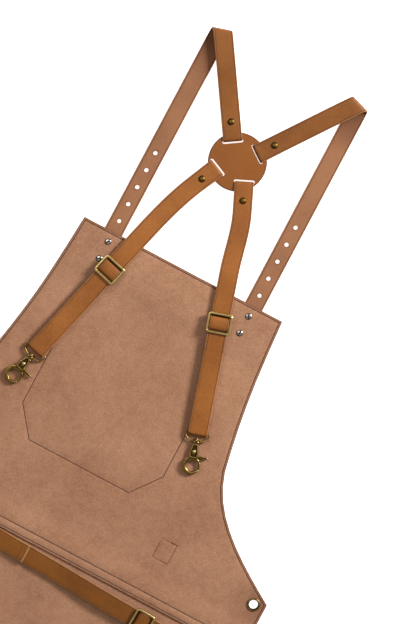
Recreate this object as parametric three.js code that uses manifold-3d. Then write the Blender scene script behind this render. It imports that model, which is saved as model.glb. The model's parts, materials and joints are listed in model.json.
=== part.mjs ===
// Leather butcher apron with a cross-back harness and a waist belt, laid flat with its suede side up.
// Millimetres, +Z up, +Y towards the bib's top edge, +X to the right. While the pieces are made, the
// middle of the bib's top edge is at x = 0, y = 0 and the surface that the apron lies on is at z = 0;
// the last step moves the whole apron so that its box is centred over the origin.
import * as THREE from 'three';
import { mergeVertices } from 'three/addons/utils/BufferGeometryUtils.js';
import Module from 'manifold-3d';

const wasm = await Module();
wasm.setup();

// ---- driving dimensions -------------------------------------------------------------------------

const APRON_LENGTH = 820;          // bib top edge to hem
const BIB_HALF_TOP = 145;          // half the bib's top edge
const WAIST_HALF = 300;            // half the waist, and half the skirt
const WAIST_CORNER_DROP = 334;     // bib top edge to the waist corner
const HEM_CORNER_R = 60;
const PANEL_T = 1.6;               // body leather
const SEAM_DROP = 406;             // bib top edge to the bib panel's raw lower edge
const SEAM_OVERLAP = 20;           // bib over skirt

const POCKET_TOP = 130, POCKET_BOTTOM = 293, POCKET_HALF = 107;
const POCKET_CUT_X = 32, POCKET_CUT_Y = 41;
const PATCH_W = 30, PATCH_H = 35, PATCH_X = 150, PATCH_DROP = 334, PATCH_T = 1.2;

const STRAP_W = 25;
const STRAP_T = 2;
const STRAP_X = 103;               // shoulder strap centre to the apron's centreline
const STRAP_TUCK = 50;             // shoulder strap length below the bib
const SCREW_DROPS = [14.5, 39];    // screws below the bib's top edge
const HOLE_R = 2.7;
const HOLE_PITCH = 25, HOLE_FIRST = 16, HOLE_COUNT = 5;
const FOLD_R = 5.5;                // outside radius of the soft fold at the shoulder

const DISK_X = -3.5, DISK_Y = 155.6;
const DISK_R = 38.4, DISK_T = 3;
const SLOT_TO_RIM = 11.4;           // slot's middle to the disk's rim
const SLOT_FROM_CENTRE = DISK_R - SLOT_TO_RIM;
const SLOT_PAD = 1.2;              // slot longer than the strap is wide, each end

const WIRE_R = 1.4;                // slide frames and hook eyes
const SLIDE_LENGTH = 26;           // slide frame along the strap, outside
const BELT_W = 24;

const HOOK_PLATE_T = 5;
const HOOK_RING_R = 11.6, HOOK_RING_HOLE_R = 7.6;
const HOOK_RING_S = 43.5;          // hook eye's bar to the ring's centre
const HOOK_PIN_S = 25;             // hook eye's bar to the trigger's pin
const TRIGGER_T = 2.6;
const EYE_ROOM = 2.7;               // hook eye past the strap's edge, to the wire's middle
const EYE_HALF = STRAP_W / 2 + EYE_ROOM, EYE_DEPTH = 12;

const GROMMET_X = 284, GROMMET_DROP = 341;
const GROMMET_HOLE_R = 6.7, GROMMET_R = 8.85;

const CLEAR = 0.3;                 // between pieces that touch

// The harness: where each side's slide sits, which way its strap runs there (degrees off straight down),
// how far the doubled strap goes on to the hook, and how each strap leaves the disk.
const CHEST = {
  left: { side: -1, slide: [-83.3, -45.7], lean: 14.7, doubled: 141 },
  right: { side: 1, slide: [73.8, -40.4], lean: 16.9, doubled: 145 },
};
const UPPER_SLOT_AT = 41, LOWER_SLOT_AT = 133;      // slot centres, degrees off straight up
const SHOULDER_LEAN = { left: 33.1, right: 35.7 };  // upper straps at the disk, degrees off straight up
const LOWER_LEAN = 24;                              // lower straps at the disk, degrees off straight down
const BELT = { slide: [166, -428.2], lean: 2.35, doubled: 75 };
const BELT_LEFT_END = [-296, -414];
const SPLICE_X = -6, SPLICE_LAP = 34;

// ---- heights, from the surface up -----------------------------------------------------------------

const CAP_T = 1.4;                                    // screw cap on the front
const CAP_GAP = 0.2;
const BIB_Z = PANEL_T + CLEAR;                        // bib over the pocket
const TUCK_Z = CAP_T + CLEAR;                         // strap end below the bib
const BIB_TOP_Z = TUCK_Z + STRAP_T + CLEAR;           // bib over the strap ends
const SEAM_Z = BIB_Z + PANEL_T + CLEAR;               // bib over the skirt at the seam
const BELT_Z = SEAM_Z + PANEL_T + CLEAR;
const WRAP_GAP = DISK_T + 2 * CLEAR;                  // between the two layers round the disk
const DISK_STRAP_Z = WRAP_GAP + STRAP_T + 0.2;        // strap over the disk
const DISK_Z = DISK_STRAP_Z - CLEAR - DISK_T;
const LOOP_GAP = 2 * WIRE_R + 2 * CLEAR + 0.2;        // between the two layers of a doubled strap
const BAR_R = 1.1;                                    // slide's centre bar, below the strap
const BAR_Z = -CLEAR - BAR_R;
const ADJUSTER_Z = BIB_TOP_Z + PANEL_T + 2 * CLEAR + 2 * BAR_R;    // strap at the slides
const DIP = 0.6;                                      // degrees that a strap falls from slide to hook
const DOUBLE_Z = STRAP_T + CLEAR;                     // doubled end's upper layer over the strap
const WIRE_Z = DOUBLE_Z + STRAP_T + CLEAR + WIRE_R;   // slide frame's wire
const EYE_Z = DOUBLE_Z - LOOP_GAP / 2;                // hook eye's bar

// ---- materials ------------------------------------------------------------------------------------

const material = (color, roughness, metalness) =>
  new THREE.MeshStandardMaterial({ color, roughness, metalness });
const suede = material(0xa77b60, 0.95, 0);
const strapLeather = material(0x9a6534, 0.5, 0);
const antiqueBrass = material(0x8a6f35, 0.35, 1);
const nickel = material(0xa9a39a, 0.25, 1);
const springSteel = material(0x8c8c8c, 0.4, 1);

// ---- shape helpers --------------------------------------------------------------------------------

const rad = THREE.MathUtils.degToRad;
const X_AXIS = new THREE.Vector3(1, 0, 0);
const Z_AXIS = new THREE.Vector3(0, 0, 1);

/** A closed skin over rings of points: each ring has the same count, and runs round the piece. */
function skin(rings, closed = false) {
  const size = rings[0].length;
  const positions = rings.flat().flatMap((p) => [p.x, p.y, p.z]);
  const faces = [];
  const spans = closed ? rings.length : rings.length - 1;
  for (let i = 0; i < spans; i += 1) {
    const here = i * size;
    const next = ((i + 1) % rings.length) * size;
    for (let j = 0; j < size; j += 1) {
      const k = (j + 1) % size;
      faces.push(here + j, here + k, next + k, here + j, next + k, next + j);
    }
  }
  if (!closed) {
    const last = (rings.length - 1) * size;
    for (let j = 1; j < size - 1; j += 1) {
      faces.push(0, j + 1, j, last, last + j, last + j + 1);
    }
  }
  const geometry = new THREE.BufferGeometry();
  geometry.setAttribute('position', new THREE.Float32BufferAttribute(positions, 3));
  geometry.setIndex(faces);
  return outward(geometry);
}

/** Turns every face over if the closed geometry's volume is negative. */
function outward(geometry) {
  const p = geometry.getAttribute('position');
  const index = geometry.getIndex();
  const [a, b, c] = [new THREE.Vector3(), new THREE.Vector3(), new THREE.Vector3()];
  let volume = 0;
  for (let i = 0; i < index.count; i += 3) {
    a.fromBufferAttribute(p, index.getX(i));
    b.fromBufferAttribute(p, index.getX(i + 1));
    c.fromBufferAttribute(p, index.getX(i + 2));
    volume += a.dot(b.cross(c));
  }
  if (volume < 0) {
    for (let i = 0; i < index.count; i += 3) {
      const swap = index.getX(i + 1);
      index.setX(i + 1, index.getX(i + 2));
      index.setX(i + 2, swap);
    }
  }
  return geometry;
}

/** One station of a strap: left and right edge points on its outer face, and the way to its inner face. */
function strapRing(left, right, inward, thickness) {
  const t = inward.clone().multiplyScalar(thickness);
  return [left.clone(), right.clone(), right.clone().add(t), left.clone().add(t)];
}

/** A tube of round wire through points that lie level, closed into a ring. */
function wireRing(points, radius, sides = 8) {
  const n = points.length;
  const rings = points.map((p, i) => {
    const along = points[(i + 1) % n].clone().sub(points[(i + n - 1) % n]).normalize();
    const across = along.clone().cross(Z_AXIS).normalize();
    return Array.from({ length: sides }, (_, j) => {
      const a = (2 * Math.PI * (j + 0.5)) / sides;
      return p.clone().addScaledVector(across, radius * Math.cos(a))
        .addScaledVector(Z_AXIS, radius * Math.sin(a));
    });
  });
  return skin(rings, true);
}

/** A flat plate from an outline, standing on z = 0. */
function plate(outline, thickness, holes = []) {
  const shape = outline instanceof THREE.Shape ? outline : new THREE.Shape(outline);
  shape.holes.push(...holes);
  return new THREE.ExtrudeGeometry(shape, { depth: thickness, bevelEnabled: false, curveSegments: 5 });
}

const v2 = (x, y) => new THREE.Vector2(x, y);
const v3 = (x, y, z) => new THREE.Vector3(x, y, z);

/** A turned piece about Z, from [radius, z] pairs that start and end on the axis. */
function turned(profile, sides = 12) {
  return new THREE.LatheGeometry(profile.map(([r, z]) => v2(r, z)), sides).rotateX(Math.PI / 2);
}

/** A turned ring about Z, from [radius, z] pairs that are joined into a loop. */
function turnedRing(profile, sides = 12) {
  return turned([...profile, profile[0]], sides);
}

function pin(radius, length, sides = 12) {
  return new THREE.CylinderGeometry(radius, radius, length, sides).rotateX(Math.PI / 2);
}

function toSolid(geometry) {
  const bare = geometry.clone();
  bare.deleteAttribute('normal');
  bare.deleteAttribute('uv');
  const merged = mergeVertices(bare, 1e-4);
  return new wasm.Manifold(new wasm.Mesh({
    numProp: 3,
    vertProperties: Float32Array.from(merged.getAttribute('position').array),
    triVerts: Uint32Array.from(merged.getIndex().array),
  }));
}

function toGeometry(solid) {
  const { vertProperties, triVerts, numProp } = solid.getMesh();
  const positions = [];
  for (let i = 0; i < vertProperties.length; i += numProp) {
    positions.push(vertProperties[i], vertProperties[i + 1], vertProperties[i + 2]);
  }
  const geometry = new THREE.BufferGeometry();
  geometry.setAttribute('position', new THREE.Float32BufferAttribute(positions, 3));
  geometry.setIndex(Array.from(triVerts));
  return geometry;
}

/** The first geometry with the others cut out of it. */
function cut(geometry, ...tools) {
  return toGeometry(tools.reduce((solid, tool) => solid.subtract(toSolid(tool)), toSolid(geometry)));
}

/** The geometries joined into one solid. */
function join(...geometries) {
  const [first, ...rest] = geometries.map(toSolid);
  return toGeometry(rest.reduce((solid, other) => solid.add(other), first));
}

const apron = new THREE.Group();

function add(parent, name, geometry, finish) {
  const mesh = new THREE.Mesh(geometry, finish);
  mesh.name = name;
  parent.add(mesh);
  return mesh;
}

// ---- body panels ----------------------------------------------------------------------------------

/** A long sheet that follows [drop, height] pairs down the apron, wider than any panel. */
function bentSheet(heights) {
  const lower = heights.map(([drop, z]) => v2(-drop, z));
  const upper = heights.map(([drop, z]) => v2(-drop, z + PANEL_T)).reverse();
  const width = 2 * WAIST_HALF + 20;
  const sheet = new THREE.ExtrudeGeometry(new THREE.Shape([...lower, ...upper]),
    { depth: width, bevelEnabled: false });
  sheet.rotateX(Math.PI / 2).rotateZ(Math.PI / 2).translate(-width / 2, 0, 0);
  return sheet;
}

/** A panel: its outline cut from a sheet that follows the given heights. */
function panel(outline, heights, cutters = []) {
  const prism = plate(outline, 60).translate(0, 0, -20);
  return cut(toGeometry(toSolid(prism).intersect(toSolid(bentSheet(heights)))), ...cutters);
}

/** The right-hand edge of the bib, from its top corner round the arm curve to the waist corner. */
function armCurve() {
  const side = new THREE.CubicBezierCurve(v2(BIB_HALF_TOP, 0), v2(BIB_HALF_TOP + 6, -100),
    v2(BIB_HALF_TOP + 14, -150), v2(BIB_HALF_TOP + 26, -207));
  const sweep = new THREE.CubicBezierCurve(v2(BIB_HALF_TOP + 26, -207), v2(BIB_HALF_TOP + 42, -265),
    v2(WAIST_HALF - 55, -300), v2(WAIST_HALF, -WAIST_CORNER_DROP));
  return [...side.getPoints(6), ...sweep.getPoints(9).slice(1)];
}

const ARM_CURVE = armCurve();
const mirrored = (points) => points.map((p) => v2(-p.x, p.y)).reverse();

function screwHoles(x, drops, z) {
  return drops.map((drop) => pin(HOLE_R, 12, 10).translate(x, -drop, z));
}

function bibPanel() {
  const right = [...ARM_CURVE, v2(WAIST_HALF, -SEAM_DROP)];
  const heights = [[-1, BIB_TOP_Z], [STRAP_TUCK + 2, BIB_TOP_Z], [75, BIB_Z],
    [SEAM_DROP - SEAM_OVERLAP - 20, BIB_Z], [SEAM_DROP - SEAM_OVERLAP - 4, SEAM_Z], [SEAM_DROP + 1, SEAM_Z]];
  const grommetCut = (side) => pin(GROMMET_HOLE_R + 0.9 + CLEAR, 20, 16)
    .translate(side * GROMMET_X, -GROMMET_DROP, 0);
  return panel([...right, ...mirrored(right)], heights, [
    ...screwHoles(STRAP_X, SCREW_DROPS, BIB_TOP_Z), ...screwHoles(-STRAP_X, SCREW_DROPS, BIB_TOP_Z),
    grommetCut(1), grommetCut(-1)]);
}

const BELT_SCREW_X = [BELT_LEFT_END[0] + 11, BELT_LEFT_END[0] + 34];

function skirtPanel() {
  const top = -(SEAM_DROP - SEAM_OVERLAP);
  const shape = new THREE.Shape();
  shape.moveTo(-WAIST_HALF, top);
  shape.lineTo(-WAIST_HALF, -APRON_LENGTH + HEM_CORNER_R);
  shape.absarc(-WAIST_HALF + HEM_CORNER_R, -APRON_LENGTH + HEM_CORNER_R, HEM_CORNER_R,
    Math.PI, 1.5 * Math.PI);
  shape.absarc(WAIST_HALF - HEM_CORNER_R, -APRON_LENGTH + HEM_CORNER_R, HEM_CORNER_R,
    1.5 * Math.PI, 2 * Math.PI);
  shape.lineTo(WAIST_HALF, top);
  const heights = [[-top - 1, BIB_Z], [428, BIB_Z], [470, 0], [APRON_LENGTH + 1, 0]];
  const cutters = BELT_SCREW_X.map((x) => pin(HOLE_R, 12, 10).translate(x, BELT_LEFT_END[1], BIB_Z));
  return panel(shape, heights, cutters);
}

add(apron, 'bib_panel', bibPanel(), suede);
add(apron, 'skirt_panel', skirtPanel(), suede);

const pocketRight = [v2(POCKET_HALF, -POCKET_TOP), v2(POCKET_HALF, -POCKET_BOTTOM + POCKET_CUT_Y),
  v2(POCKET_HALF - POCKET_CUT_X, -POCKET_BOTTOM)];
add(apron, 'chest_pocket', plate([...pocketRight, ...mirrored(pocketRight)], PANEL_T), suede);
add(apron, 'front_patch', plate([v2(-PATCH_W / 2, -PATCH_H / 2), v2(PATCH_W / 2, -PATCH_H / 2),
  v2(PATCH_W / 2, PATCH_H / 2), v2(-PATCH_W / 2, PATCH_H / 2)], PATCH_T), suede)
  .position.set(PATCH_X, -PATCH_DROP, BIB_Z - CLEAR - PATCH_T);

// ---- back disk ------------------------------------------------------------------------------------

const SLOT_W = WRAP_GAP / 2 + STRAP_T + 2 * CLEAR;
const WALL = SLOT_W / 2;                       // slot centre to the edge that the strap hangs on

/** Where one slot sits and which way its strap leaves, in the apron's frame. */
function slotAt(side, fromUp, lean, down) {
  const a = rad(fromUp);
  const x = DISK_X + side * SLOT_FROM_CENTRE * Math.sin(a);
  const y = DISK_Y + SLOT_FROM_CENTRE * Math.cos(a);
  const out = v2(side * Math.sin(rad(lean)), (down ? -1 : 1) * Math.cos(rad(lean)));
  return { x, y, out };
}

const SLOTS = {
  upper_left: slotAt(-1, UPPER_SLOT_AT, SHOULDER_LEAN.left, false),
  upper_right: slotAt(1, UPPER_SLOT_AT, SHOULDER_LEAN.right, false),
  lower_left: slotAt(-1, LOWER_SLOT_AT, LOWER_LEAN, true),
  lower_right: slotAt(1, LOWER_SLOT_AT, LOWER_LEAN, true),
};

function backDisk() {
  const rim = Array.from({ length: 56 }, (_, i) => rad((i * 360) / 56));
  const shape = new THREE.Shape(rim.map((a) => v2(DISK_X + DISK_R * Math.cos(a), DISK_Y + DISK_R * Math.sin(a))));
  const half = STRAP_W / 2 + SLOT_PAD - SLOT_W / 2;
  const holes = Object.values(SLOTS).map(({ x, y, out }) => {
    const turn = Math.atan2(out.y, out.x) + Math.PI / 2;
    const ends = [1, -1].map((end) => v2(x + end * half * Math.cos(turn), y + end * half * Math.sin(turn)));
    const path = new THREE.Path();
    path.absarc(ends[0].x, ends[0].y, SLOT_W / 2, turn - Math.PI / 2, turn + Math.PI / 2);
    path.absarc(ends[1].x, ends[1].y, SLOT_W / 2, turn + Math.PI / 2, turn + 1.5 * Math.PI);
    return path;
  });
  shape.holes.push(...holes);
  return new THREE.ExtrudeGeometry(shape, { depth: DISK_T, bevelEnabled: false, curveSegments: 3 });
}

add(apron, 'back_disk', backDisk(), strapLeather).position.z = DISK_Z;

// ---- straps round the disk --------------------------------------------------------------------------

const RIVET_OUT = 23;                          // slot's edge to the rivet
const RETURN_OUT = 32;                         // slot's edge to the strap's folded-back end
const RIM_OUT = 14;                            // slot's edge to just past the disk's rim

/** Strap stations at a slot: [distance out, height of the outer face, angle of the inward normal]. */
function wrapStations() {
  const outer = WRAP_GAP / 2 + STRAP_T;
  const middle = DISK_STRAP_Z - WRAP_GAP / 2;
  const lift = WRAP_GAP - CLEAR;
  const stations = [[RIM_OUT, middle + outer, -90]];
  for (let a = 90; a <= 270; a += 30) {
    stations.push([outer * Math.cos(rad(a)), middle + outer * Math.sin(rad(a)), a + 180]);
  }
  stations.push([RIM_OUT - 2, middle - outer, 90], [RIM_OUT + 4, middle - outer + lift, 90],
    [RETURN_OUT, middle - outer + lift, 90]);
  return stations;
}

const RIVET_R = 1.6;

/** Where a slot's rivet goes through its strap. */
function rivetAt({ x, y, out }) {
  return v2(x + out.x * (WALL + RIVET_OUT), y + out.y * (WALL + RIVET_OUT));
}

function rivetHole(slot) {
  const { x, y } = rivetAt(slot);
  return pin(RIVET_R + CLEAR, 30, 10).translate(x, y, 0);
}

/** Rings for the strap's turn round the disk, from the layer on top to the end below. */
function wrapRings({ x, y, out }) {
  const across = v3(out.y, -out.x, 0).multiplyScalar(STRAP_W / 2);
  return wrapStations().map(([s, z, a]) => {
    const p = v3(x + out.x * (WALL + s), y + out.y * (WALL + s), z);
    const inward = v3(out.x * Math.cos(rad(a)), out.y * Math.cos(rad(a)), Math.sin(rad(a)));
    return strapRing(p.clone().sub(across), p.clone().add(across), inward, STRAP_T);
  });
}

// ---- shoulder straps --------------------------------------------------------------------------------

/** The strap lies on the surface, folds over on a slanted crease, and comes back to its slot. */
function shoulderStrap(side, slot, lean) {
  const x0 = side * STRAP_X;
  const down = v3(0, 0, -1);
  const up = v3(0, 0, 1);
  const back = v2(-slot.out.x, -slot.out.y);
  const slant = rad(lean) / 2;
  const crease = v2(-side * Math.cos(slant), Math.sin(slant));
  const over = v2(side * Math.sin(slant), Math.cos(slant));
  const shift = Math.PI * FOLD_R * Math.tan(slant);
  const edge = v2(slot.x, slot.y);
  const reach = (edge.x - x0 - shift * crease.x) / back.x;
  const y0 = edge.y - reach * back.y - shift * crease.y;

  const flat = (y, z) => strapRing(v3(x0 - STRAP_W / 2, y, z), v3(x0 + STRAP_W / 2, y, z), up, STRAP_T);
  const rings = [flat(-STRAP_TUCK, TUCK_Z), flat(8, TUCK_Z), flat(40, 0), flat(y0 - 40, 0)];

  const bend = (turn) => [-1, 1].map((edgeSide) => {
    const w = edgeSide * STRAP_W / 2;
    const a = FOLD_R * turn;
    const s = (a - w * side * Math.sin(slant)) / Math.cos(slant);
    const b = s * Math.sin(slant) - w * side * Math.cos(slant);
    const out = FOLD_R * Math.sin(turn);
    return v3(x0 + over.x * out + crease.x * b, y0 + over.y * out + crease.y * b,
      FOLD_R * (1 - Math.cos(turn)));
  });
  for (let i = 0; i <= 6; i += 1) {
    const turn = (Math.PI * i) / 6;
    const [left, right] = bend(turn);
    const inward = v3(-over.x * Math.sin(turn), -over.y * Math.sin(turn), Math.cos(turn));
    rings.push(strapRing(left, right, inward, STRAP_T));
  }
  const wrap = wrapRings(slot);
  const fromFold = edge.clone().addScaledVector(back, 45 - reach);
  const last = v3(fromFold.x, fromFold.y, 2 * FOLD_R - 0.4);
  const across = v3(slot.out.y, -slot.out.x, 0).multiplyScalar(STRAP_W / 2);
  rings.push(strapRing(last.clone().sub(across), last.clone().add(across), down, STRAP_T));
  const nearDisk = v3(slot.x + slot.out.x * (WALL + RETURN_OUT + 6),
    slot.y + slot.out.y * (WALL + RETURN_OUT + 6), DISK_STRAP_Z + STRAP_T);
  rings.push(strapRing(nearDisk.clone().sub(across), nearDisk.clone().add(across), down, STRAP_T));
  rings.push(...wrap);

  const drops = [...SCREW_DROPS, ...Array.from({ length: HOLE_COUNT }, (_, i) => -HOLE_FIRST - i * HOLE_PITCH)];
  return cut(skin(rings), ...screwHoles(x0, drops, 0), rivetHole(slot));
}

add(apron, 'shoulder_strap_left', shoulderStrap(-1, SLOTS.upper_left, SHOULDER_LEAN.left), strapLeather);
add(apron, 'shoulder_strap_right', shoulderStrap(1, SLOTS.upper_right, SHOULDER_LEAN.right), strapLeather);

// ---- lower straps -----------------------------------------------------------------------------------

const TRAVEL = 50;                             // how far a slide moves up its strap
const SLIDE_HALF = SLIDE_LENGTH / 2;
const DOUBLED_START = 10;                      // slide's centre to the doubled end's upper layer
const DOUBLED_UNDER = 42 + TRAVEL / 2;         // slide's centre to the doubled end's lower layer
const TONGUE_SHORT = TRAVEL / 2 + 12;          // strap's hidden end to the hook eye's bar

/** Where the strap is straight: from above the slide's travel to its end inside the doubled end. */
function straightStations(doubled) {
  const fall = Math.tan(rad(DIP));
  return [-TRAVEL - SLIDE_HALF - 4, doubled - TONGUE_SHORT].map((s) => [s, ADJUSTER_Z - s * fall]);
}

function alongStrap(slide, out, s) {
  return v2(slide[0] + out.x * s, slide[1] + out.y * s);
}

/** A strap that leaves the disk, straightens before its slide, and ends inside the doubled end. */
function lowerStrap(slot, { slide, doubled }, out) {
  const rings = wrapRings(slot).reverse();
  const start = v2(slot.x + slot.out.x * (WALL + RETURN_OUT + 6),
    slot.y + slot.out.y * (WALL + RETURN_OUT + 6));
  const [[straightFrom, straightZ], tongue] = straightStations(doubled);
  const end = alongStrap(slide, out, straightFrom);
  const pull = start.distanceTo(end) / 3;
  const curve = new THREE.CubicBezierCurve(start, start.clone().addScaledVector(slot.out, pull),
    end.clone().addScaledVector(out, -pull), end);
  const station = (p, dir, z) => {
    const across = v3(dir.y, -dir.x, 0).multiplyScalar(STRAP_W / 2);
    const centre = v3(p.x, p.y, z + STRAP_T);
    return strapRing(centre.clone().sub(across), centre.clone().add(across), v3(0, 0, -1), STRAP_T);
  };
  const steps = 6;
  for (let i = 0; i <= steps; i += 1) {
    const t = i / steps;
    const z = DISK_STRAP_Z + (straightZ - DISK_STRAP_Z) * t;
    rings.push(station(curve.getPoint(t), curve.getTangent(t), z));
  }
  rings.push(station(alongStrap(slide, out, tongue[0]), out, tongue[1]));
  return cut(skin(rings), rivetHole(slot));
}

// ---- slides, doubled ends and hooks -----------------------------------------------------------------
// Each adjuster is built lying along +X from its slide's centre, with the strap's underside at z = 0.

function slideFrame(width) {
  const halfX = SLIDE_HALF - WIRE_R;
  const halfY = width / 2 + CLEAR + WIRE_R;
  const r = 2;
  const points = [];
  for (const [sx, sy, from] of [[1, 1, 0], [-1, 1, 90], [-1, -1, 180], [1, -1, 270]]) {
    for (const step of [0, 45, 90]) {
      points.push(v3(sx * (halfX - r) + r * Math.cos(rad(from + step)),
        sy * (halfY - r) + r * Math.sin(rad(from + step)), WIRE_Z));
    }
  }
  return wireRing(points, WIRE_R);
}

/** The bar across the slide: it drops at both ends to pass below the strap. */
function slideBar(width) {
  const y = width / 2 + CLEAR + WIRE_R;
  const top = WIRE_Z - WIRE_R - CLEAR;
  const rise = BAR_R * 2;
  const arm = [v3(0, -y, top), v3(0, -y, BAR_Z + rise), v3(0, -y + rise * 0.3, BAR_Z + rise * 0.3),
    v3(0, -y + rise, BAR_Z)];
  const path = [...arm, ...arm.map((p) => v3(0, -p.y, p.z)).reverse()];
  const rings = path.map((p, i) => {
    const from = path[Math.max(i - 1, 0)];
    const to = path[Math.min(i + 1, path.length - 1)];
    const along = to.clone().sub(from).normalize();
    const normal = along.clone().cross(X_AXIS).normalize();
    return Array.from({ length: 8 }, (_, j) => {
      const a = (2 * Math.PI * (j + 0.5)) / 8;
      return p.clone().addScaledVector(X_AXIS, BAR_R * Math.cos(a))
        .addScaledVector(normal, BAR_R * Math.sin(a));
    });
  });
  return skin(rings);
}

/** The strap's doubled end: out to the hook's eye, round its bar, and back below. */
function doubledEnd(width, doubled) {
  const outer = LOOP_GAP / 2 + STRAP_T;
  const turnX = doubled - WIRE_R;
  const stations = [[DOUBLED_START, DOUBLE_Z + STRAP_T, -90]];
  for (let a = 90; a >= -90; a -= 30) {
    stations.push([turnX + outer * Math.cos(rad(a)), EYE_Z + outer * Math.sin(rad(a)), a + 180]);
  }
  stations.push([DOUBLED_UNDER, EYE_Z - outer, 90]);
  return skin(stations.map(([x, z, a]) => strapRing(v3(x, -width / 2, z), v3(x, width / 2, z),
    v3(Math.cos(rad(a)), 0, Math.sin(rad(a))), STRAP_T)));
}

const HUB_HALF = 2.5, HUB_R = 3.4, SHANK_R = 1.5;

/** The hook's eye: a straight bar closed by a D of the same wire, with a hub for the hook's shank. */
function hookEye() {
  const points = [v3(0, -EYE_HALF, 0)];
  const steps = 12;
  for (let i = 1; i < steps; i += 1) {
    const t = (Math.PI * i) / steps;
    points.push(v3(EYE_DEPTH * Math.sin(t) ** 0.6, -EYE_HALF * Math.cos(t), 0));
  }
  points.push(v3(0, EYE_HALF, 0), v3(0, EYE_HALF * 0.5, 0), v3(0, -EYE_HALF * 0.5, 0));
  const hub = pin(HUB_R, 2 * HUB_HALF).rotateY(Math.PI / 2).translate(EYE_DEPTH, 0, 0);
  const bore = pin(SHANK_R + CLEAR, 12).rotateY(Math.PI / 2).translate(EYE_DEPTH, 0, 0);
  return cut(join(wireRing(points, WIRE_R), hub), bore);
}

const BODY_S = EYE_DEPTH + HUB_HALF + CLEAR;   // where the hook's body starts
const TIP_R = 24.5;                            // pin to the gate's tip
const CAVITY_T = TRIGGER_T + 2 * CLEAR;

const disc = (radius, thickness, x, sides = 28) => pin(radius, thickness, sides).translate(x, 0, 0);
const block = (x0, x1, y0, y1, thickness) =>
  new THREE.BoxGeometry(x1 - x0, y1 - y0, thickness).translate((x0 + x1) / 2, (y0 + y1) / 2, 0);

/** The hook: shank and head through the eye's hub, a tapered body, and a ring open on one side. */
function hookBody() {
  const shank = pin(SHANK_R, 10).rotateY(Math.PI / 2).translate(EYE_DEPTH, 0, 0);
  const head = pin(2.8, 1.4).rotateY(Math.PI / 2).translate(EYE_DEPTH - HUB_HALF - CLEAR - 0.7, 0, 0);
  const bodyShape = new THREE.Shape([v2(BODY_S, -3.2), v2(BODY_S + 3, -4), v2(HOOK_PIN_S, -5.6),
    v2(HOOK_RING_S - 10.5, -5.4), v2(HOOK_RING_S - 6, -9.8), v2(HOOK_RING_S - 6, 5),
    v2(HOOK_RING_S - 9, 6.4), v2(HOOK_PIN_S, 5.6), v2(BODY_S + 3, 4), v2(BODY_S, 3.2)]);
  const body = plate(bodyShape, HOOK_PLATE_T).translate(0, 0, -HOOK_PLATE_T / 2);
  const ring = disc(HOOK_RING_R, HOOK_PLATE_T, HOOK_RING_S);
  const hole = disc(HOOK_RING_HOLE_R, 12, HOOK_RING_S);
  const mouth = toGeometry(toSolid(disc(TIP_R + 0.5, 12, HOOK_PIN_S, 40))
    .intersect(toSolid(block(HOOK_RING_S - 7, HOOK_RING_S + 20, 1.5, 20, 12))));
  const cavity = block(HOOK_PIN_S - 4.5, HOOK_RING_S - 4, -3.6, 14, CAVITY_T);
  const pinHole = disc(1.3 + CLEAR, 12, HOOK_PIN_S, 12);
  return cut(join(shank, head, body, ring), hole, mouth, cavity, pinHole);
}

/** The trigger: a hub on the pin, an arm to the curved gate that closes the ring, and a thumb lever. */
function hookTrigger() {
  const hub = disc(3, TRIGGER_T, HOOK_PIN_S, 14);
  const gateRing = cut(disc(HOOK_RING_R - 0.3, TRIGGER_T, HOOK_RING_S),
    disc(HOOK_RING_HOLE_R + 0.3, 12, HOOK_RING_S));
  const gate = toGeometry(toSolid(gateRing)
    .intersect(toSolid(disc(TIP_R, 12, HOOK_PIN_S, 40)))
    .intersect(toSolid(block(HOOK_RING_S - 8.6, HOOK_RING_S + 20, 3.2, 20, 12))));
  const arm = plate([v2(HOOK_PIN_S, -2), v2(HOOK_PIN_S + 9, 1.2), v2(HOOK_RING_S - 5.6, 6.3),
    v2(HOOK_RING_S - 7, 9.2), v2(HOOK_PIN_S + 3, 5.2), v2(HOOK_PIN_S, 2.6)], TRIGGER_T)
    .translate(0, 0, -TRIGGER_T / 2);
  const lever = plate([v2(HOOK_PIN_S + 4, 3), v2(HOOK_PIN_S + 8.5, 5), v2(HOOK_PIN_S + 7.6, 18.4),
    v2(HOOK_PIN_S + 6.4, 19.4), v2(HOOK_PIN_S + 5.2, 18.6)], TRIGGER_T).translate(0, 0, -TRIGGER_T / 2);
  return cut(join(hub, arm, gate, lever), disc(1.3 + CLEAR, 12, HOOK_PIN_S, 12));
}

/** The trigger's spring, between its arm and the floor of the body's cavity. */
function hookSpring() {
  return turnedRing([[0.6, -0.5], [1.2, -0.5], [1.2, 0.6], [0.6, 0.6]], 12)
    .rotateX(Math.PI / 2).translate(HOOK_PIN_S + 5, -2.8, 0);
}

/** A slide, a doubled end and a trigger hook, placed along a strap. */
function adjuster(name, { slide, doubled }, out, width) {
  const unit = new THREE.Group();
  unit.position.set(slide[0], slide[1], ADJUSTER_Z);
  unit.rotation.set(0, rad(DIP), Math.atan2(out.y, out.x), 'ZYX');
  apron.add(unit);
  add(unit, `slide_frame_${name}`, slideFrame(width), antiqueBrass);
  add(unit, `slide_bar_${name}`, slideBar(width), antiqueBrass);
  add(unit, `strap_end_${name}`, doubledEnd(width, doubled), strapLeather);
  const hook = new THREE.Group();
  hook.position.set(doubled - WIRE_R, 0, EYE_Z);
  unit.add(hook);
  add(hook, `hook_eye_${name}`, hookEye(), antiqueBrass);
  add(hook, `hook_body_${name}`, hookBody(), antiqueBrass);
  add(hook, `hook_trigger_${name}`, hookTrigger(), antiqueBrass);
  add(hook, `hook_pin_${name}`, disc(1.3, HOOK_PLATE_T + 0.6, HOOK_PIN_S, 12), antiqueBrass);
  add(hook, `hook_spring_${name}`, hookSpring(), springSteel);
}

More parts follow.
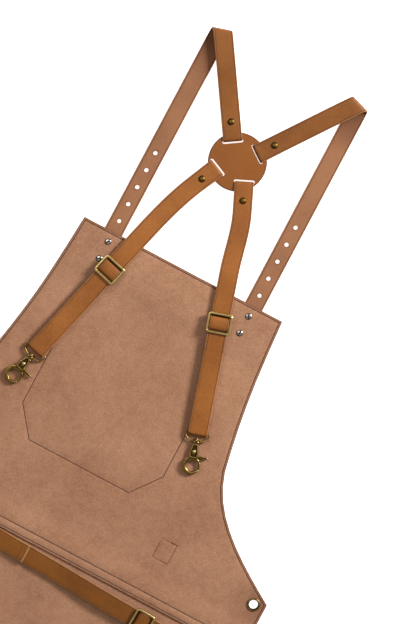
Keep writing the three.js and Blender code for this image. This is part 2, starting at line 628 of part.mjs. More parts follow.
for (const [name, chest] of Object.entries(CHEST)) {
  const out = v2(chest.side * Math.sin(rad(chest.lean)), -Math.cos(rad(chest.lean)));
  add(apron, `lower_strap_${name}`, lowerStrap(SLOTS[`lower_${name}`], chest, out), strapLeather);
  adjuster(name, chest, out, STRAP_W);
}

// ---- waist belt -------------------------------------------------------------------------------------

const beltOut = v2(Math.cos(rad(BELT.lean)), -Math.sin(rad(BELT.lean)));
const SPLICE_T = 1.1;                          // the right piece is skived below the splice

/** A belt piece through [x, y, height of its underside, thickness] stations. */
function beltPiece(stations) {
  return skin(stations.map(([x, y, z, thickness]) => strapRing(v3(x, y - BELT_W / 2, z + thickness),
    v3(x, y + BELT_W / 2, z + thickness), v3(0, 0, -1), thickness)));
}

const beltY = (x) => alongStrap(BELT.slide, beltOut, (x - BELT.slide[0]) / beltOut.x).y;

function beltLeft() {
  const [x, y] = BELT_LEFT_END;
  const raised = BELT_Z + SPLICE_T + CLEAR;
  const piece = beltPiece([[x, y, BELT_Z, STRAP_T], [x + 45, y, BELT_Z, STRAP_T],
    [-160, beltY(-160), BELT_Z, STRAP_T], [SPLICE_X - SPLICE_LAP - 12, beltY(SPLICE_X - 46), BELT_Z, STRAP_T],
    [SPLICE_X - SPLICE_LAP, beltY(SPLICE_X - SPLICE_LAP), raised, STRAP_T],
    [SPLICE_X, beltY(SPLICE_X), raised, STRAP_T]]);
  return cut(piece, ...BELT_SCREW_X.map((hole) => pin(HOLE_R, 12, 10).translate(hole, y, BELT_Z)));
}

function beltRight() {
  const flat = [[SPLICE_X - SPLICE_LAP + 4, BELT_Z, SPLICE_T], [SPLICE_X + 1, BELT_Z, SPLICE_T],
    [SPLICE_X + 6, BELT_Z, STRAP_T], [40, BELT_Z, STRAP_T]];
  const straight = straightStations(BELT.doubled).map(([s, z]) =>
    [alongStrap(BELT.slide, beltOut, s).x, z, STRAP_T]);
  return beltPiece([...flat, ...straight].map(([x, z, thickness]) => [x, beltY(x), z, thickness]));
}

add(apron, 'belt_left', beltLeft(), strapLeather);
add(apron, 'belt_right', beltRight(), strapLeather);
adjuster('belt', BELT, beltOut, BELT_W);

// ---- fasteners --------------------------------------------------------------------------------------

/** A dome rivet: its flanged post stands below the strap's return and its cap sits on top. */
for (const [name, slot] of Object.entries(SLOTS)) {
  const { x, y } = rivetAt(slot);
  const under = DISK_STRAP_Z - CLEAR - STRAP_T - CLEAR;
  const top = DISK_STRAP_Z + STRAP_T + CLEAR;
  add(apron, `rivet_cap_${name}`, turned([[0, top + 0.9], [2, top + 0.9], [2, top], [4.5, top],
    [4.2, top + 0.9], [2.6, top + 1.7], [0, top + 2]]), antiqueBrass).position.set(x, y, 0);
  add(apron, `rivet_post_${name}`, turned([[0, under - 0.9], [4, under - 0.9], [4, under], [RIVET_R, under],
    [RIVET_R, top + 0.6], [0, top + 0.6]]), antiqueBrass).position.set(x, y, 0);
}

const POST_R = 2.3;

/** A Chicago screw: a capped post from below, and the screw that goes down its bore. */
function chicagoScrew(name, x, y, low, top) {
  const cap = low + CAP_T;
  add(apron, `screw_post_${name}`, turned([[0, low], [4.3, low], [4.7, low + 0.5], [4.7, cap], [POST_R, cap],
    [POST_R, top - 0.1], [1.5, top - 0.1], [1.5, cap + 0.4], [0, cap + 0.4]]), nickel).position.set(x, y, 0);
  const head = top + CLEAR;
  add(apron, `screw_${name}`, turned([[0, cap + 0.8], [1.2, cap + 0.8], [1.2, head], [4.25, head],
    [4.1, head + 0.7], [2.8, head + 1.1], [0, head + 1.2]]), nickel).position.set(x, y, 0);
}

for (const [name, { side }] of Object.entries(CHEST)) {
  SCREW_DROPS.forEach((drop, i) => {
    chicagoScrew(`bib_${name}_${i + 1}`, side * STRAP_X, -drop, 0, BIB_TOP_Z + PANEL_T);
  });
}
BELT_SCREW_X.forEach((x, i) => {
  chicagoScrew(`belt_${i + 1}`, x, BELT_LEFT_END[1], CAP_GAP, BELT_Z + STRAP_T);
});

/** A grommet: the eyelet with its flange on the suede side, and the washer below. */
for (const [name, side] of [['left', -1], ['right', 1]]) {
  const face = BIB_Z + PANEL_T + CLEAR;
  const barrel = GROMMET_HOLE_R + 0.8;
  add(apron, `grommet_eyelet_${name}`, turnedRing([[GROMMET_HOLE_R, 0.6], [barrel, 0.6], [barrel, face],
    [GROMMET_R, face], [GROMMET_R - 0.4, face + 0.8], [GROMMET_HOLE_R + 0.6, face + 1.1],
    [GROMMET_HOLE_R, face + 0.5]], 20), antiqueBrass).position.set(side * GROMMET_X, -GROMMET_DROP, 0);
  add(apron, `grommet_washer_${name}`, turnedRing([[barrel + CLEAR, 0.7], [GROMMET_R, 0.7],
    [GROMMET_R, BIB_Z - CLEAR], [barrel + CLEAR, BIB_Z - CLEAR]], 20), antiqueBrass)
    .position.set(side * GROMMET_X, -GROMMET_DROP, 0);
}

// ---- the apron's box is centred over the origin -------------------------------------------------------

apron.updateMatrixWorld(true);
const box = new THREE.Box3().setFromObject(apron, true);
apron.position.set(-(box.min.x + box.max.x) / 2, -(box.min.y + box.max.y) / 2, -box.min.z);
apron.updateMatrixWorld(true);

export default apron;
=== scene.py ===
import json
import math

import bmesh
import bpy
import numpy as np
from bpy.props import FloatProperty, FloatVectorProperty, PointerProperty
from bpy.types import Operator, Panel, PropertyGroup
from mathutils import Euler, Matrix, Vector, noise
from mathutils.geometry import delaunay_2d_cdt


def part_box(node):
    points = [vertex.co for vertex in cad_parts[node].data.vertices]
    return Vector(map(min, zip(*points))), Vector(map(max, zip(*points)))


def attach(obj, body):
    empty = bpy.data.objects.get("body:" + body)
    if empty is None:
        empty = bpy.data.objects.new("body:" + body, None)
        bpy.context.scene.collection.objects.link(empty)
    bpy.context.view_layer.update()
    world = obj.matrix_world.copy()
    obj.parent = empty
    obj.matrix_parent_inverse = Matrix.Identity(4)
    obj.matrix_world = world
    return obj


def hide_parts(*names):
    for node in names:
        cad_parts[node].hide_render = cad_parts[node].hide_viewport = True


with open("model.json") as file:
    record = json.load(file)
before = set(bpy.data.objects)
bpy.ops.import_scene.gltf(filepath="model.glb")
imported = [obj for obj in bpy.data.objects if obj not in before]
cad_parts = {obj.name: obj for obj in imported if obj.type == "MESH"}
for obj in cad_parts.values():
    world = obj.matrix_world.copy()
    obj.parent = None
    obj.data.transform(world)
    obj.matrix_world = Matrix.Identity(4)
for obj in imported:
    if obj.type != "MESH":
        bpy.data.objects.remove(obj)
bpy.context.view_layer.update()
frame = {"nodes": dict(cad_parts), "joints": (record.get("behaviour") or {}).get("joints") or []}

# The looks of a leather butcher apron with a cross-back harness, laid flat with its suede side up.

bl_info = {
    "name": "Butcher Apron",
    "version": (1, 0, 0),
    "blender": (4, 5, 0),
    "location": "View3D > Sidebar > Apron",
    "description": "Leather, thread and brass of a butcher apron around its fixed frame",
    "category": "Object",
}

MM = 0.001
APRON = "apron"
UNITS = ("left", "right", "belt")
SIDES = {"left": -1, "right": 1}

# ---- sizes in millimetres, from the bib's top edge (y = 0) and the apron's centreline (x = 0) ----

BIB_TOP_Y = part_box("bib_panel")[1].y
PANEL_T = 1.6
CLEAR = 0.3
SEAM_DROP = 406
SEAM_LINE_DROP = 393
WAIST_HALF = 300
CORNER_DROP = 334
BIB_TOP_Z = 4.0
BIB_Z = 1.9
SEAM_Z = 3.8
BELT_Z = 5.7

STRAP_T = 2.0
STRAP_W = 25.0
STRAP_X = 103.0
STRAP_TUCK = 50.0
STITCH_INSET = 2.1
HOLE_R = 2.7
HOLE_FIRST = 16
HOLE_PITCH = 25
HOLE_COUNT = 5
FOLD_R = 5.5

DISK_X, DISK_Y, DISK_R, DISK_T = -3.5, 155.6, 38.4, 3.0
SLOT_FROM_CENTRE = DISK_R - 11.4
WRAP_GAP = DISK_T + 2 * CLEAR
DISK_STRAP_Z = WRAP_GAP + STRAP_T + 0.2
WALL = (WRAP_GAP / 2 + STRAP_T + 2 * CLEAR) / 2
RETURN_OUT, RIM_OUT = 32, 14
SHOULDER_LEAN = {"left": 33.1, "right": 35.7}
CHEST_LEAN = {"left": 14.7, "right": 16.9}
LOWER_LEAN = 24

WIRE_R = 1.4
ADJUSTER_Z = BIB_TOP_Z + PANEL_T + 2 * CLEAR + 2.2
# a slide unit lies over its own hook's end, so it falls towards the hook
UNIT_FALL = math.tan(math.radians(0.6))
DOUBLE_Z = STRAP_T + CLEAR
WIRE_Z = DOUBLE_Z + STRAP_T + CLEAR + WIRE_R
LOOP_GAP = 2 * WIRE_R + 2 * CLEAR + 0.2
EYE_Z = DOUBLE_Z - LOOP_GAP / 2
SLIDE_HALF = 13.0
TRAVEL = 50.0
DOUBLED_START = 10.0
DOUBLED_UNDER = 42 + TRAVEL / 2
HOOK_PIN_S = 25.0
HOOK_RING_S = 43.5
HOOK_RING_R = 9.6

BELT_W = 24.0
BELT_LEAN = 2.35
BELT_LEFT_END = (-296, -414)
SPLICE_X, SPLICE_LAP, SPLICE_T = -6, 34, 1.1


def place(x, y, z):
    """A point of the apron, given in millimetres from the bib's top edge, in the frame's metres."""
    return Vector((x * MM, y * MM + BIB_TOP_Y, z * MM))


def direction(degrees_off_down, side):
    """A way down the apron that leans out to a side."""
    a = math.radians(degrees_off_down)
    return Vector((side * math.sin(a), -math.cos(a), 0))


# ---- colours ----


def linear(hex_colour):
    """An sRGB hex colour as linear RGBA."""
    values = [int(hex_colour[i:i + 2], 16) / 255 for i in (1, 3, 5)]
    return [v / 12.92 if v <= 0.04045 else ((v + 0.055) / 1.055) ** 2.4 for v in values] + [1.0]


def colour_property(name, description, hex_colour):
    """A colour setting with an sRGB hex default."""
    return FloatVectorProperty(name=name, description=description, subtype="COLOR", size=4,
                               min=0.0, max=1.0, default=linear(hex_colour))


class ApronLeatherSettings(PropertyGroup):
    suede: colour_property("Suede", "Flesh side of the body leather", "#B98A6B")
    suede_dark: colour_property("Suede shade", "Suede where its nap lies the other way", "#8A5C42")
    suede_rim: colour_property("Suede rim", "Body leather's pressed and inked rim", "#5A3223")
    body_grain: colour_property("Body grain", "Smooth front of the body leather", "#8A5527")
    grain: colour_property("Strap grain", "Smooth side of the harness straps", "#A3632A")
    grain_dark: colour_property("Strap grain shade", "Strap grain where the dye pooled", "#834A17")
    flesh: colour_property("Strap flesh", "Back of the harness straps", "#A06F4D")
    raw_edge: colour_property("Raw edge", "Cut edge of the straps", "#AE7B50")
    # shoulder and shoulder_dark: the strap grain made darker, as painted shade for the dimmer top of the
    # apron
    shoulder: colour_property("Shoulder grain", "Smooth side of the shoulder straps", "#8D5420")
    shoulder_dark: colour_property("Shoulder shade", "Shoulder strap where the dye pooled", "#73410F")
    belt: colour_property("Belt grain", "Smooth side of the waist belt", "#874F17")
    belt_dark: colour_property("Belt shade", "Waist belt where the dye pooled", "#6B3C0E")
    # disk: darker leather, partly its own colour and partly painted shade for the dimmer top of the apron
    disk: colour_property("Disk grain", "Smooth side of the back disk", "#8F531A")
    thread: colour_property("Thread", "Bonded thread of the body", "#25130B")
    strap_thread: colour_property("Strap thread", "Waxed thread of the straps", "#44240F")
    tan_thread: colour_property("Tan thread", "Bonded thread round the patch", "#8A4F1E")
    stitch_pitch: FloatProperty(name="Stitch pitch", description="Distance from stitch to stitch",
                                default=3.0 * MM, min=1.5 * MM, max=8 * MM, unit="LENGTH", precision=4)


class ApronMetalSettings(PropertyGroup):
    patina: colour_property("Patina", "Brass in the hollows, darkened by the plating bath", "#2C200C")
    brass: colour_property("Brass", "Antique brass on open faces", "#84652E")
    rubbed: colour_property("Rubbed brass", "Brass on ridges that hands and leather rub bright", "#E6C681")
    nickel: colour_property("Nickel", "Nickel plate of the screws", "#C8C0B6")
    voxel: FloatProperty(name="Casting grain", description="Mesh size of the cast pieces",
                         default=0.32 * MM, min=0.15 * MM, max=1 * MM, unit="LENGTH", precision=5)


class ApronStageSettings(PropertyGroup):
    paper: colour_property("Paper", "Floor that the apron lies on", "#FBFBFB")
    camera_height: FloatProperty(name="Camera height", description="Camera above the floor",
                                 default=1.8, min=0.5, max=6, unit="LENGTH")
    lens: FloatProperty(name="Lens", description="Focal length on a 36 mm wide sensor",
                        default=80, min=20, max=300, unit="CAMERA")
    turn: FloatProperty(name="Turn", description="From the apron's length to the camera's up",
                        default=math.radians(28), subtype="ANGLE")


# ---- materials ----


def node(tree, kind, sockets=None, **settings):
    """Adds a node, sets its properties, and sets or links its sockets."""
    made = tree.nodes.new("ShaderNode" + kind)
    for key, value in settings.items():
        setattr(made, key, value)
    for key, value in (sockets or {}).items():
        if isinstance(value, bpy.types.NodeSocket):
            tree.links.new(value, made.inputs[key])
        else:
            made.inputs[key].default_value = value
    return made


def per(size_mm):
    """Noise scale, in cycles a metre, of a pattern whose blots are this many millimetres across."""
    return 1000.0 / size_mm


MIX_A, MIX_B, MIX_OUT = 6, 7, 2


def start_material(name):
    """An empty material with its shader, its output and the piece's own coordinates."""
    material = bpy.data.materials.new(name)
    material.use_nodes = True
    tree = material.node_tree
    tree.nodes.clear()
    shader = node(tree, "BsdfPrincipled")
    output = node(tree, "OutputMaterial", {"Surface": shader.outputs["BSDF"]})
    output.is_active_output = True
    coords = node(tree, "TexCoord").outputs["Object"]
    return material, tree, shader, coords


def suede_material(name, settings):
    """Chrome-tanned cowhide, split and buffed to a short nap. The eye sees a dull, cloudy pink-brown
    with a fibrous speckle, a dark line where the rim is inked, and a smooth brown front."""
    material, tree, shader, coords = start_material(name)
    # clouds from the drum, blots, and fibres, which are drawn wider than their 0.2 mm so that they show:
    # (width in mm, detail, roughness, low, high, share of the shade)
    shade, patterns = 0.0, []
    for size, detail, rough, low, high, share in ((110, 3.0, 0.55, 0.36, 0.66, 0.30),
                                                  (9, 4.0, 0.7, 0.38, 0.64, 0.22),
                                                  (1.6, 2.0, 0.8, 0.36, 0.64, 0.45)):
        noisy = node(tree, "TexNoise", {"Vector": coords, "Scale": per(size), "Detail": detail,
                                        "Roughness": rough}).outputs["Fac"]
        clear = node(tree, "MapRange", {"Value": noisy, "From Min": low, "From Max": high}).outputs[0]
        shade = node(tree, "Math", {0: clear, 1: share, 2: shade}, operation="MULTIPLY_ADD").outputs[0]
        patterns.append((noisy, clear))
    cloud, fibres = patterns[0][1], patterns[-1][0]
    nap = node(tree, "Mix", {0: shade, MIX_A: settings.suede, MIX_B: settings.suede_dark}, data_type="RGBA")
    rim = node(tree, "Attribute", attribute_name="rim").outputs["Fac"]
    rimmed = node(tree, "Mix", {0: rim, MIX_A: nap.outputs[MIX_OUT], MIX_B: settings.suede_rim},
                  data_type="RGBA")
    grain = node(tree, "Mix", {0: cloud, MIX_A: settings.body_grain, MIX_B: settings.grain_dark},
                 data_type="RGBA")
    front = node(tree, "Attribute", attribute_name="front").outputs["Fac"]
    colour = node(tree, "Mix", {0: front, MIX_A: rimmed.outputs[MIX_OUT], MIX_B: grain.outputs[MIX_OUT]},
                  data_type="RGBA")
    tree.links.new(colour.outputs[MIX_OUT], shader.inputs["Base Color"])
    rough = node(tree, "MapRange", {"Value": front, "To Min": 0.95, "To Max": 0.5})
    tree.links.new(rough.outputs[0], shader.inputs["Roughness"])
    pebble = node(tree, "TexVoronoi", {"Vector": coords, "Scale": per(1.1)}, feature="F1")
    pressed = node(tree, "Mix", {0: front, 2: fibres, 3: pebble.outputs["Distance"]},
                   data_type="FLOAT")
    bump = node(tree, "Bump", {"Height": pressed.outputs[0], "Distance": 0.35 * MM, "Strength": 0.55})
    tree.links.new(bump.outputs["Normal"], shader.inputs["Normal"])
    shader.inputs["Sheen Weight"].default_value = 0.25
    shader.inputs["Sheen Roughness"].default_value = 0.6
    shader.inputs["Sheen Tint"].default_value = linear("#E7C9B4")
    shader.inputs["Specular IOR Level"].default_value = 0.2
    return material


def strap_material(name, settings, grain_colour, grain_dark):
    """Drum-dyed, wax-finished cowhide strap. The eye sees a satin tan with soft pull-up clouds, a duller
    fibrous back, a cut edge lighter than the dyed faces, dark creased lines along the stitches, and painted
    shade by the shoulder folds and inside the slides."""
    material, tree, shader, coords = start_material(name)
    # clouds, blots and fibres: (width in mm, detail, roughness, low, high)
    patterns = []
    for size, detail, rough, low, high in ((60, 3.0, 0.5, 0.38, 0.64), (4, 3.0, 0.65, 0.4, 0.62),
                                           (1.4, 2.0, 0.8, 0.36, 0.64)):
        noisy = node(tree, "TexNoise", {"Vector": coords, "Scale": per(size), "Detail": detail,
                                        "Roughness": rough}).outputs["Fac"]
        clear = node(tree, "MapRange", {"Value": noisy, "From Min": low, "From Max": high}).outputs[0]
        patterns.append((noisy, clear))
    (_, cloud), (blots, blot), (fibres, fibre) = patterns
    sides = []
    for mixture, light, dark in ((((cloud, 0.6), (blot, 0.25)), grain_colour, grain_dark),
                                 (((fibre, 0.45), (cloud, 0.5)), settings.flesh, settings.suede_dark)):
        shade = 0.0
        for clear, share in mixture:
            shade = node(tree, "Math", {0: clear, 1: share, 2: shade}, operation="MULTIPLY_ADD").outputs[0]
        sides.append(node(tree, "Mix", {0: shade, MIX_A: light, MIX_B: dark}, data_type="RGBA"))
    grain, nap = sides
    flesh = node(tree, "Attribute", attribute_name="flesh").outputs["Fac"]
    faces = node(tree, "Mix", {0: flesh, MIX_A: grain.outputs[MIX_OUT], MIX_B: nap.outputs[MIX_OUT]},
                 data_type="RGBA")
    # the crease attribute darkens the creased stitch lines and the disk's rim, and also carries painted shade
    # by the shoulder folds and where a strap dips under a slide's bars
    crease = node(tree, "Attribute", attribute_name="crease").outputs["Fac"]
    creased_and_shaded = node(tree, "Mix", {0: crease, MIX_A: faces.outputs[MIX_OUT], MIX_B: linear("#4A2810")},
                   data_type="RGBA")
    edge = node(tree, "Attribute", attribute_name="edge").outputs["Fac"]
    colour = node(tree, "Mix", {0: edge, MIX_A: creased_and_shaded.outputs[MIX_OUT], MIX_B: settings.raw_edge},
                  data_type="RGBA")
    tree.links.new(colour.outputs[MIX_OUT], shader.inputs["Base Color"])
    satin = node(tree, "MapRange", {"Value": blots, "From Min": 0.3, "From Max": 0.7,
                                    "To Min": 0.38, "To Max": 0.55})
    rough = node(tree, "Mix", {0: flesh, 2: satin.outputs[0], 3: 0.92}, data_type="FLOAT")
    tree.links.new(rough.outputs[0], shader.inputs["Roughness"])
    pebble = node(tree, "TexVoronoi", {"Vector": coords, "Scale": per(0.9)}, feature="F1")
    relief = node(tree, "Mix", {0: flesh, 2: pebble.outputs["Distance"], 3: fibres},
                  data_type="FLOAT")
    bump = node(tree, "Bump", {"Height": relief.outputs[0], "Distance": 0.18 * MM, "Strength": 0.5})
    tree.links.new(bump.outputs["Normal"], shader.inputs["Normal"])
    shader.inputs["Specular IOR Level"].default_value = 0.3
    return material


# how much lighter the painted highlight on a raised ply is
LIT_PLY = 1.35


def thread_material(name, colour):
    """Bonded polyester thread, twisted from three plies. The eye sees short dull dashes, with a painted
    highlight where a ply comes up."""
    material, tree, shader, coords = start_material(name)
    plies = node(tree, "TexNoise", {"Vector": coords, "Scale": per(0.6), "Detail": 1.0})
    shade = node(tree, "MapRange", {"Value": plies.outputs["Fac"], "From Min": 0.35, "From Max": 0.65})
    # lit: the thread's colour made lighter, a painted highlight on the raised plies
    lit = [min(1.0, c * LIT_PLY) for c in colour[:3]] + [1.0]
    mixed = node(tree, "Mix", {0: shade.outputs[0], MIX_A: list(colour), MIX_B: lit}, data_type="RGBA")
    tree.links.new(mixed.outputs[MIX_OUT], shader.inputs["Base Color"])
    bump = node(tree, "Bump", {"Height": plies.outputs["Fac"], "Distance": 0.1 * MM, "Strength": 0.5})
    tree.links.new(bump.outputs["Normal"], shader.inputs["Normal"])
    shader.inputs["Roughness"].default_value = 0.7
    return material


def brass_material(name, settings):
    """Die-cast zinc with antique brass plate, relieved by tumbling. The eye sees near-black olive in
    the hollows, gold on every ridge, and a satin shine."""
    material, tree, shader, coords = start_material(name)
    wear_and_shade = node(tree, "Attribute", attribute_name="wear_and_shade").outputs["Fac"]
    stains = node(tree, "TexNoise", {"Vector": coords, "Scale": per(2.5), "Detail": 4.0, "Roughness": 0.7})
    rubbed = node(tree, "Math", {0: stains.outputs["Fac"], 1: 0.5, 2: -0.25}, operation="MULTIPLY_ADD")
    rubbed = node(tree, "Math", {0: rubbed.outputs[0], 1: wear_and_shade}, operation="ADD", use_clamp=True)
    ramp = node(tree, "ValToRGB", {0: rubbed.outputs[0]})
    ramp.color_ramp.elements[0].color = settings.patina
    ramp.color_ramp.elements[0].position = 0.12
    ramp.color_ramp.elements[1].color = settings.rubbed
    ramp.color_ramp.elements[1].position = 0.88
    middle = ramp.color_ramp.elements.new(0.45)
    middle.color = settings.brass
    tree.links.new(ramp.outputs["Color"], shader.inputs["Base Color"])
    rough = node(tree, "MapRange", {"Value": rubbed.outputs[0], "To Min": 0.5, "To Max": 0.24})
    tree.links.new(rough.outputs[0], shader.inputs["Roughness"])
    bump = node(tree, "Bump", {"Height": stains.outputs["Fac"], "Distance": 0.08 * MM, "Strength": 0.35})
    tree.links.new(bump.outputs["Normal"], shader.inputs["Normal"])
    shader.inputs["Metallic"].default_value = 1.0
    return material


def nickel_material(name, settings):
    """Turned steel with dull nickel plate. The eye sees bright domes, with painted shade in their slots and
    round their rims.
    """
    material, tree, shader, coords = start_material(name)
    wear_and_shade = node(tree, "Attribute", attribute_name="wear_and_shade").outputs["Fac"]
    # painted shade: near-black in the screw slots and round the dome's rim, where the attribute is low
    plate = node(tree, "Mix", {0: wear_and_shade, MIX_A: linear("#2E2823"), MIX_B: settings.nickel},
                 data_type="RGBA")
    tree.links.new(plate.outputs[MIX_OUT], shader.inputs["Base Color"])
    marks = node(tree, "TexNoise", {"Vector": coords, "Scale": per(0.8), "Detail": 2.0})
    rough = node(tree, "MapRange", {"Value": marks.outputs["Fac"], "To Min": 0.12, "To Max": 0.34})
    tree.links.new(rough.outputs[0], shader.inputs["Roughness"])
    shader.inputs["Metallic"].default_value = 1.0
    return material


def spring_material(name):
    """Drawn spring steel wire. The eye sees plain grey with fine draw lines."""
    material, tree, shader, coords = start_material(name)
    lines = node(tree, "TexNoise", {"Vector": coords, "Scale": per(0.3), "Detail": 1.0})
    shade = node(tree, "Mix", {0: lines.outputs["Fac"], MIX_A: linear("#6E6E6C"),
                               MIX_B: linear("#A5A5A2")}, data_type="RGBA")
    tree.links.new(shade.outputs[MIX_OUT], shader.inputs["Base Color"])
    shader.inputs["Metallic"].default_value = 1.0
    shader.inputs["Roughness"].default_value = 0.35
    return material


def paper_material(name, colour):
    """Matte white background paper. The eye sees an even white with only the apron's own shadow."""
    material, tree, shader, coords = start_material(name)
    fibres = node(tree, "TexNoise", {"Vector": coords, "Scale": per(3), "Detail": 2.0})
    bump = node(tree, "Bump", {"Height": fibres.outputs["Fac"], "Distance": 0.02 * MM, "Strength": 0.2})
    tree.links.new(bump.outputs["Normal"], shader.inputs["Normal"])
    shader.inputs["Base Color"].default_value = colour
    shader.inputs["Roughness"].default_value = 0.95
    shader.inputs["Specular IOR Level"].default_value = 0.1
    shader.inputs["Emission Color"].default_value = linear("#FFFFFF")
    shader.inputs["Emission Strength"].default_value = 0.85
    return material


def finish_of(context, name):
    """The material of that name, made the first time that a piece asks for it."""
    made = bpy.data.materials.get(name)
    if made:
        return made
    leather = context.scene.apron_leather
    metal = context.scene.apron_metal
    maker, *settings = {
        "suede_cowhide": (suede_material, leather),
        "waxed_strap_cowhide": (strap_material, leather, leather.grain, leather.grain_dark),
        # the shoulder and disk finishes are darker, with painted shade for the dimmer top of the apron
        "waxed_shoulder_cowhide": (strap_material, leather, leather.shoulder, leather.shoulder_dark),
        "waxed_belt_cowhide": (strap_material, leather, leather.belt, leather.belt_dark),
        "waxed_disk_cowhide": (strap_material, leather, leather.disk, leather.grain_dark),
        "bonded_thread": (thread_material, leather.thread),
        "waxed_strap_thread": (thread_material, leather.strap_thread),
        "bonded_tan_thread": (thread_material, leather.tan_thread),
        "antique_brass_plate": (brass_material, metal),
        "dull_nickel_plate": (nickel_material, metal),
        "spring_steel_wire": (spring_material,),
        "background_paper": (paper_material, context.scene.apron_stage.paper),
    }[name]
    return maker(name, *settings)


# ---- meshes ----


def make_object(name, vertices, faces, attributes=None):
    """A new object in the scene, with a number for each point under each attribute's name."""
    mesh = bpy.data.meshes.new(name)
    mesh.from_pydata([tuple(v) for v in vertices], [], [tuple(int(i) for i in f) for f in faces])
    for key, values in (attributes or {}).items():
        layer = mesh.attributes.new(key, "FLOAT", "POINT")
        layer.data.foreach_set("value", np.asarray(values, np.float32).ravel())
    mesh.validate()
    made = bpy.data.objects.new(name, mesh)
    bpy.context.scene.collection.objects.link(made)
    return made


# edges that turn more than this stay crisp
SHARP_FROM = math.radians(50)
# points of a CAD mesh closer than this are one point, in metres
WELD = 2e-6


def dress(context, made, body, finish, replaces=()):
    """Smooth shading, its material and slot, its body, and the CAD nodes that it stands for."""
    made.data.materials.clear()
    made.data.materials.append(finish_of(context, finish))
    made.data.shade_smooth()
    if "thread" not in finish:
        made.data.set_sharp_from_angle(angle=SHARP_FROM)
    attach(made, body)
    if replaces:
        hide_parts(*replaces)
    return made


def outward(made, weld=0.0):
    """Turns a piece's faces outward, and joins its points that are closer than weld."""
    bm = bmesh.new()
    bm.from_mesh(made.data)
    if weld:
        bmesh.ops.remove_doubles(bm, verts=bm.verts, dist=weld)
    bmesh.ops.recalc_face_normals(bm, faces=bm.faces)
    bm.to_mesh(made.data)
    bm.free()
    return made


def ring_faces(count, size, closed):
    """Faces round a run of rings, each of size points: a closed run, or one with a face on each end."""
    spans = count if closed else count - 1
    for i in range(spans):
        here, there = i * size, ((i + 1) % count) * size
        for j in range(size):
            k = (j + 1) % size
            yield (here + j, here + k, there + k, there + j)
    if not closed:
        yield tuple(range(size))
        yield tuple((count - 1) * size + j for j in range(size))


def lathe(name, profile, centre, sides=40, loop=False):
    """A turned piece about Z through centre, from (radius, height, wear and shade) in millimetres, where the
    last is real wear on the brass and painted shade on the nickel screws. The profile starts and ends on the
    axis, or closes on itself if it is a loop."""
    rings, wear_and_shade = [], []
    for i in range(sides):
        a = 2 * math.pi * i / sides
        for r, z, w in profile:
            rings.append(centre + Vector((r * math.cos(a), r * math.sin(a), z)) * MM)
            wear_and_shade.append(w)
    size = len(profile)
    faces = []
    for i in range(sides):
        here, there = i * size, ((i + 1) % sides) * size
        for j in range(size if loop else size - 1):
            k = (j + 1) % size
            faces.append((here + j, there + j, there + k, here + k))
    return outward(make_object(name, rings, faces, {"wear_and_shade": wear_and_shade}), weld=1e-6)


def from_bmesh(name, bm):
    """A new object from a bmesh, which it frees."""
    mesh = bpy.data.meshes.new(name)
    bm.to_mesh(mesh)
    bm.free()
    made = bpy.data.objects.new(name, mesh)
    bpy.context.scene.collection.objects.link(made)
    return made


def keep_modified(made):
    """Makes a piece's mesh what its modifiers give, and removes them."""
    bpy.context.view_layer.update()
    evaluated = made.evaluated_get(bpy.context.evaluated_depsgraph_get())
    mesh = bpy.data.meshes.new_from_object(evaluated)
    made.modifiers.clear()
    made.data = mesh
    return mesh


def solid_cut(made, cutters):
    """Cuts the cutter objects out of a piece and removes them."""
    for cutter in cutters:
        modifier = made.modifiers.new("cut", "BOOLEAN")
        modifier.operation = "DIFFERENCE"
        modifier.solver = "EXACT"
        modifier.object = cutter
    keep_modified(made)
    for cutter in cutters:
        bpy.data.objects.remove(cutter)


def copy_of(node_name, name):
    """A welded copy of a CAD node's mesh as a new object, with its flat faces whole."""
    bm = bmesh.new()
    bm.from_mesh(frame["nodes"][node_name].data)
    bmesh.ops.remove_doubles(bm, verts=bm.verts, dist=WELD)
    bmesh.ops.dissolve_limit(bm, angle_limit=math.radians(1), verts=bm.verts, edges=bm.edges)
    return from_bmesh(name, bm)


# ---- stitches ----

STITCH_SIDES = 5
STITCH_W = 1.15
STITCH_SHARE = 0.86


def walk(points, normals, pitch):
    """Places one pitch apart along a line: (point, way along, normal) for each."""
    points = [Vector(p) for p in points]
    reach = 0.5 * pitch
    travelled = 0.0
    for (a, na), (b, nb) in zip(zip(points, normals), zip(points[1:], normals[1:])):
        length = (b - a).length
        if length < 1e-9:
            continue
        along = (b - a) / length
        while reach <= travelled + length:
            t = (reach - travelled) / length
            yield a.lerp(b, t), along, Vector(na).lerp(Vector(nb), t).normalized()
            reach += pitch
        travelled += length


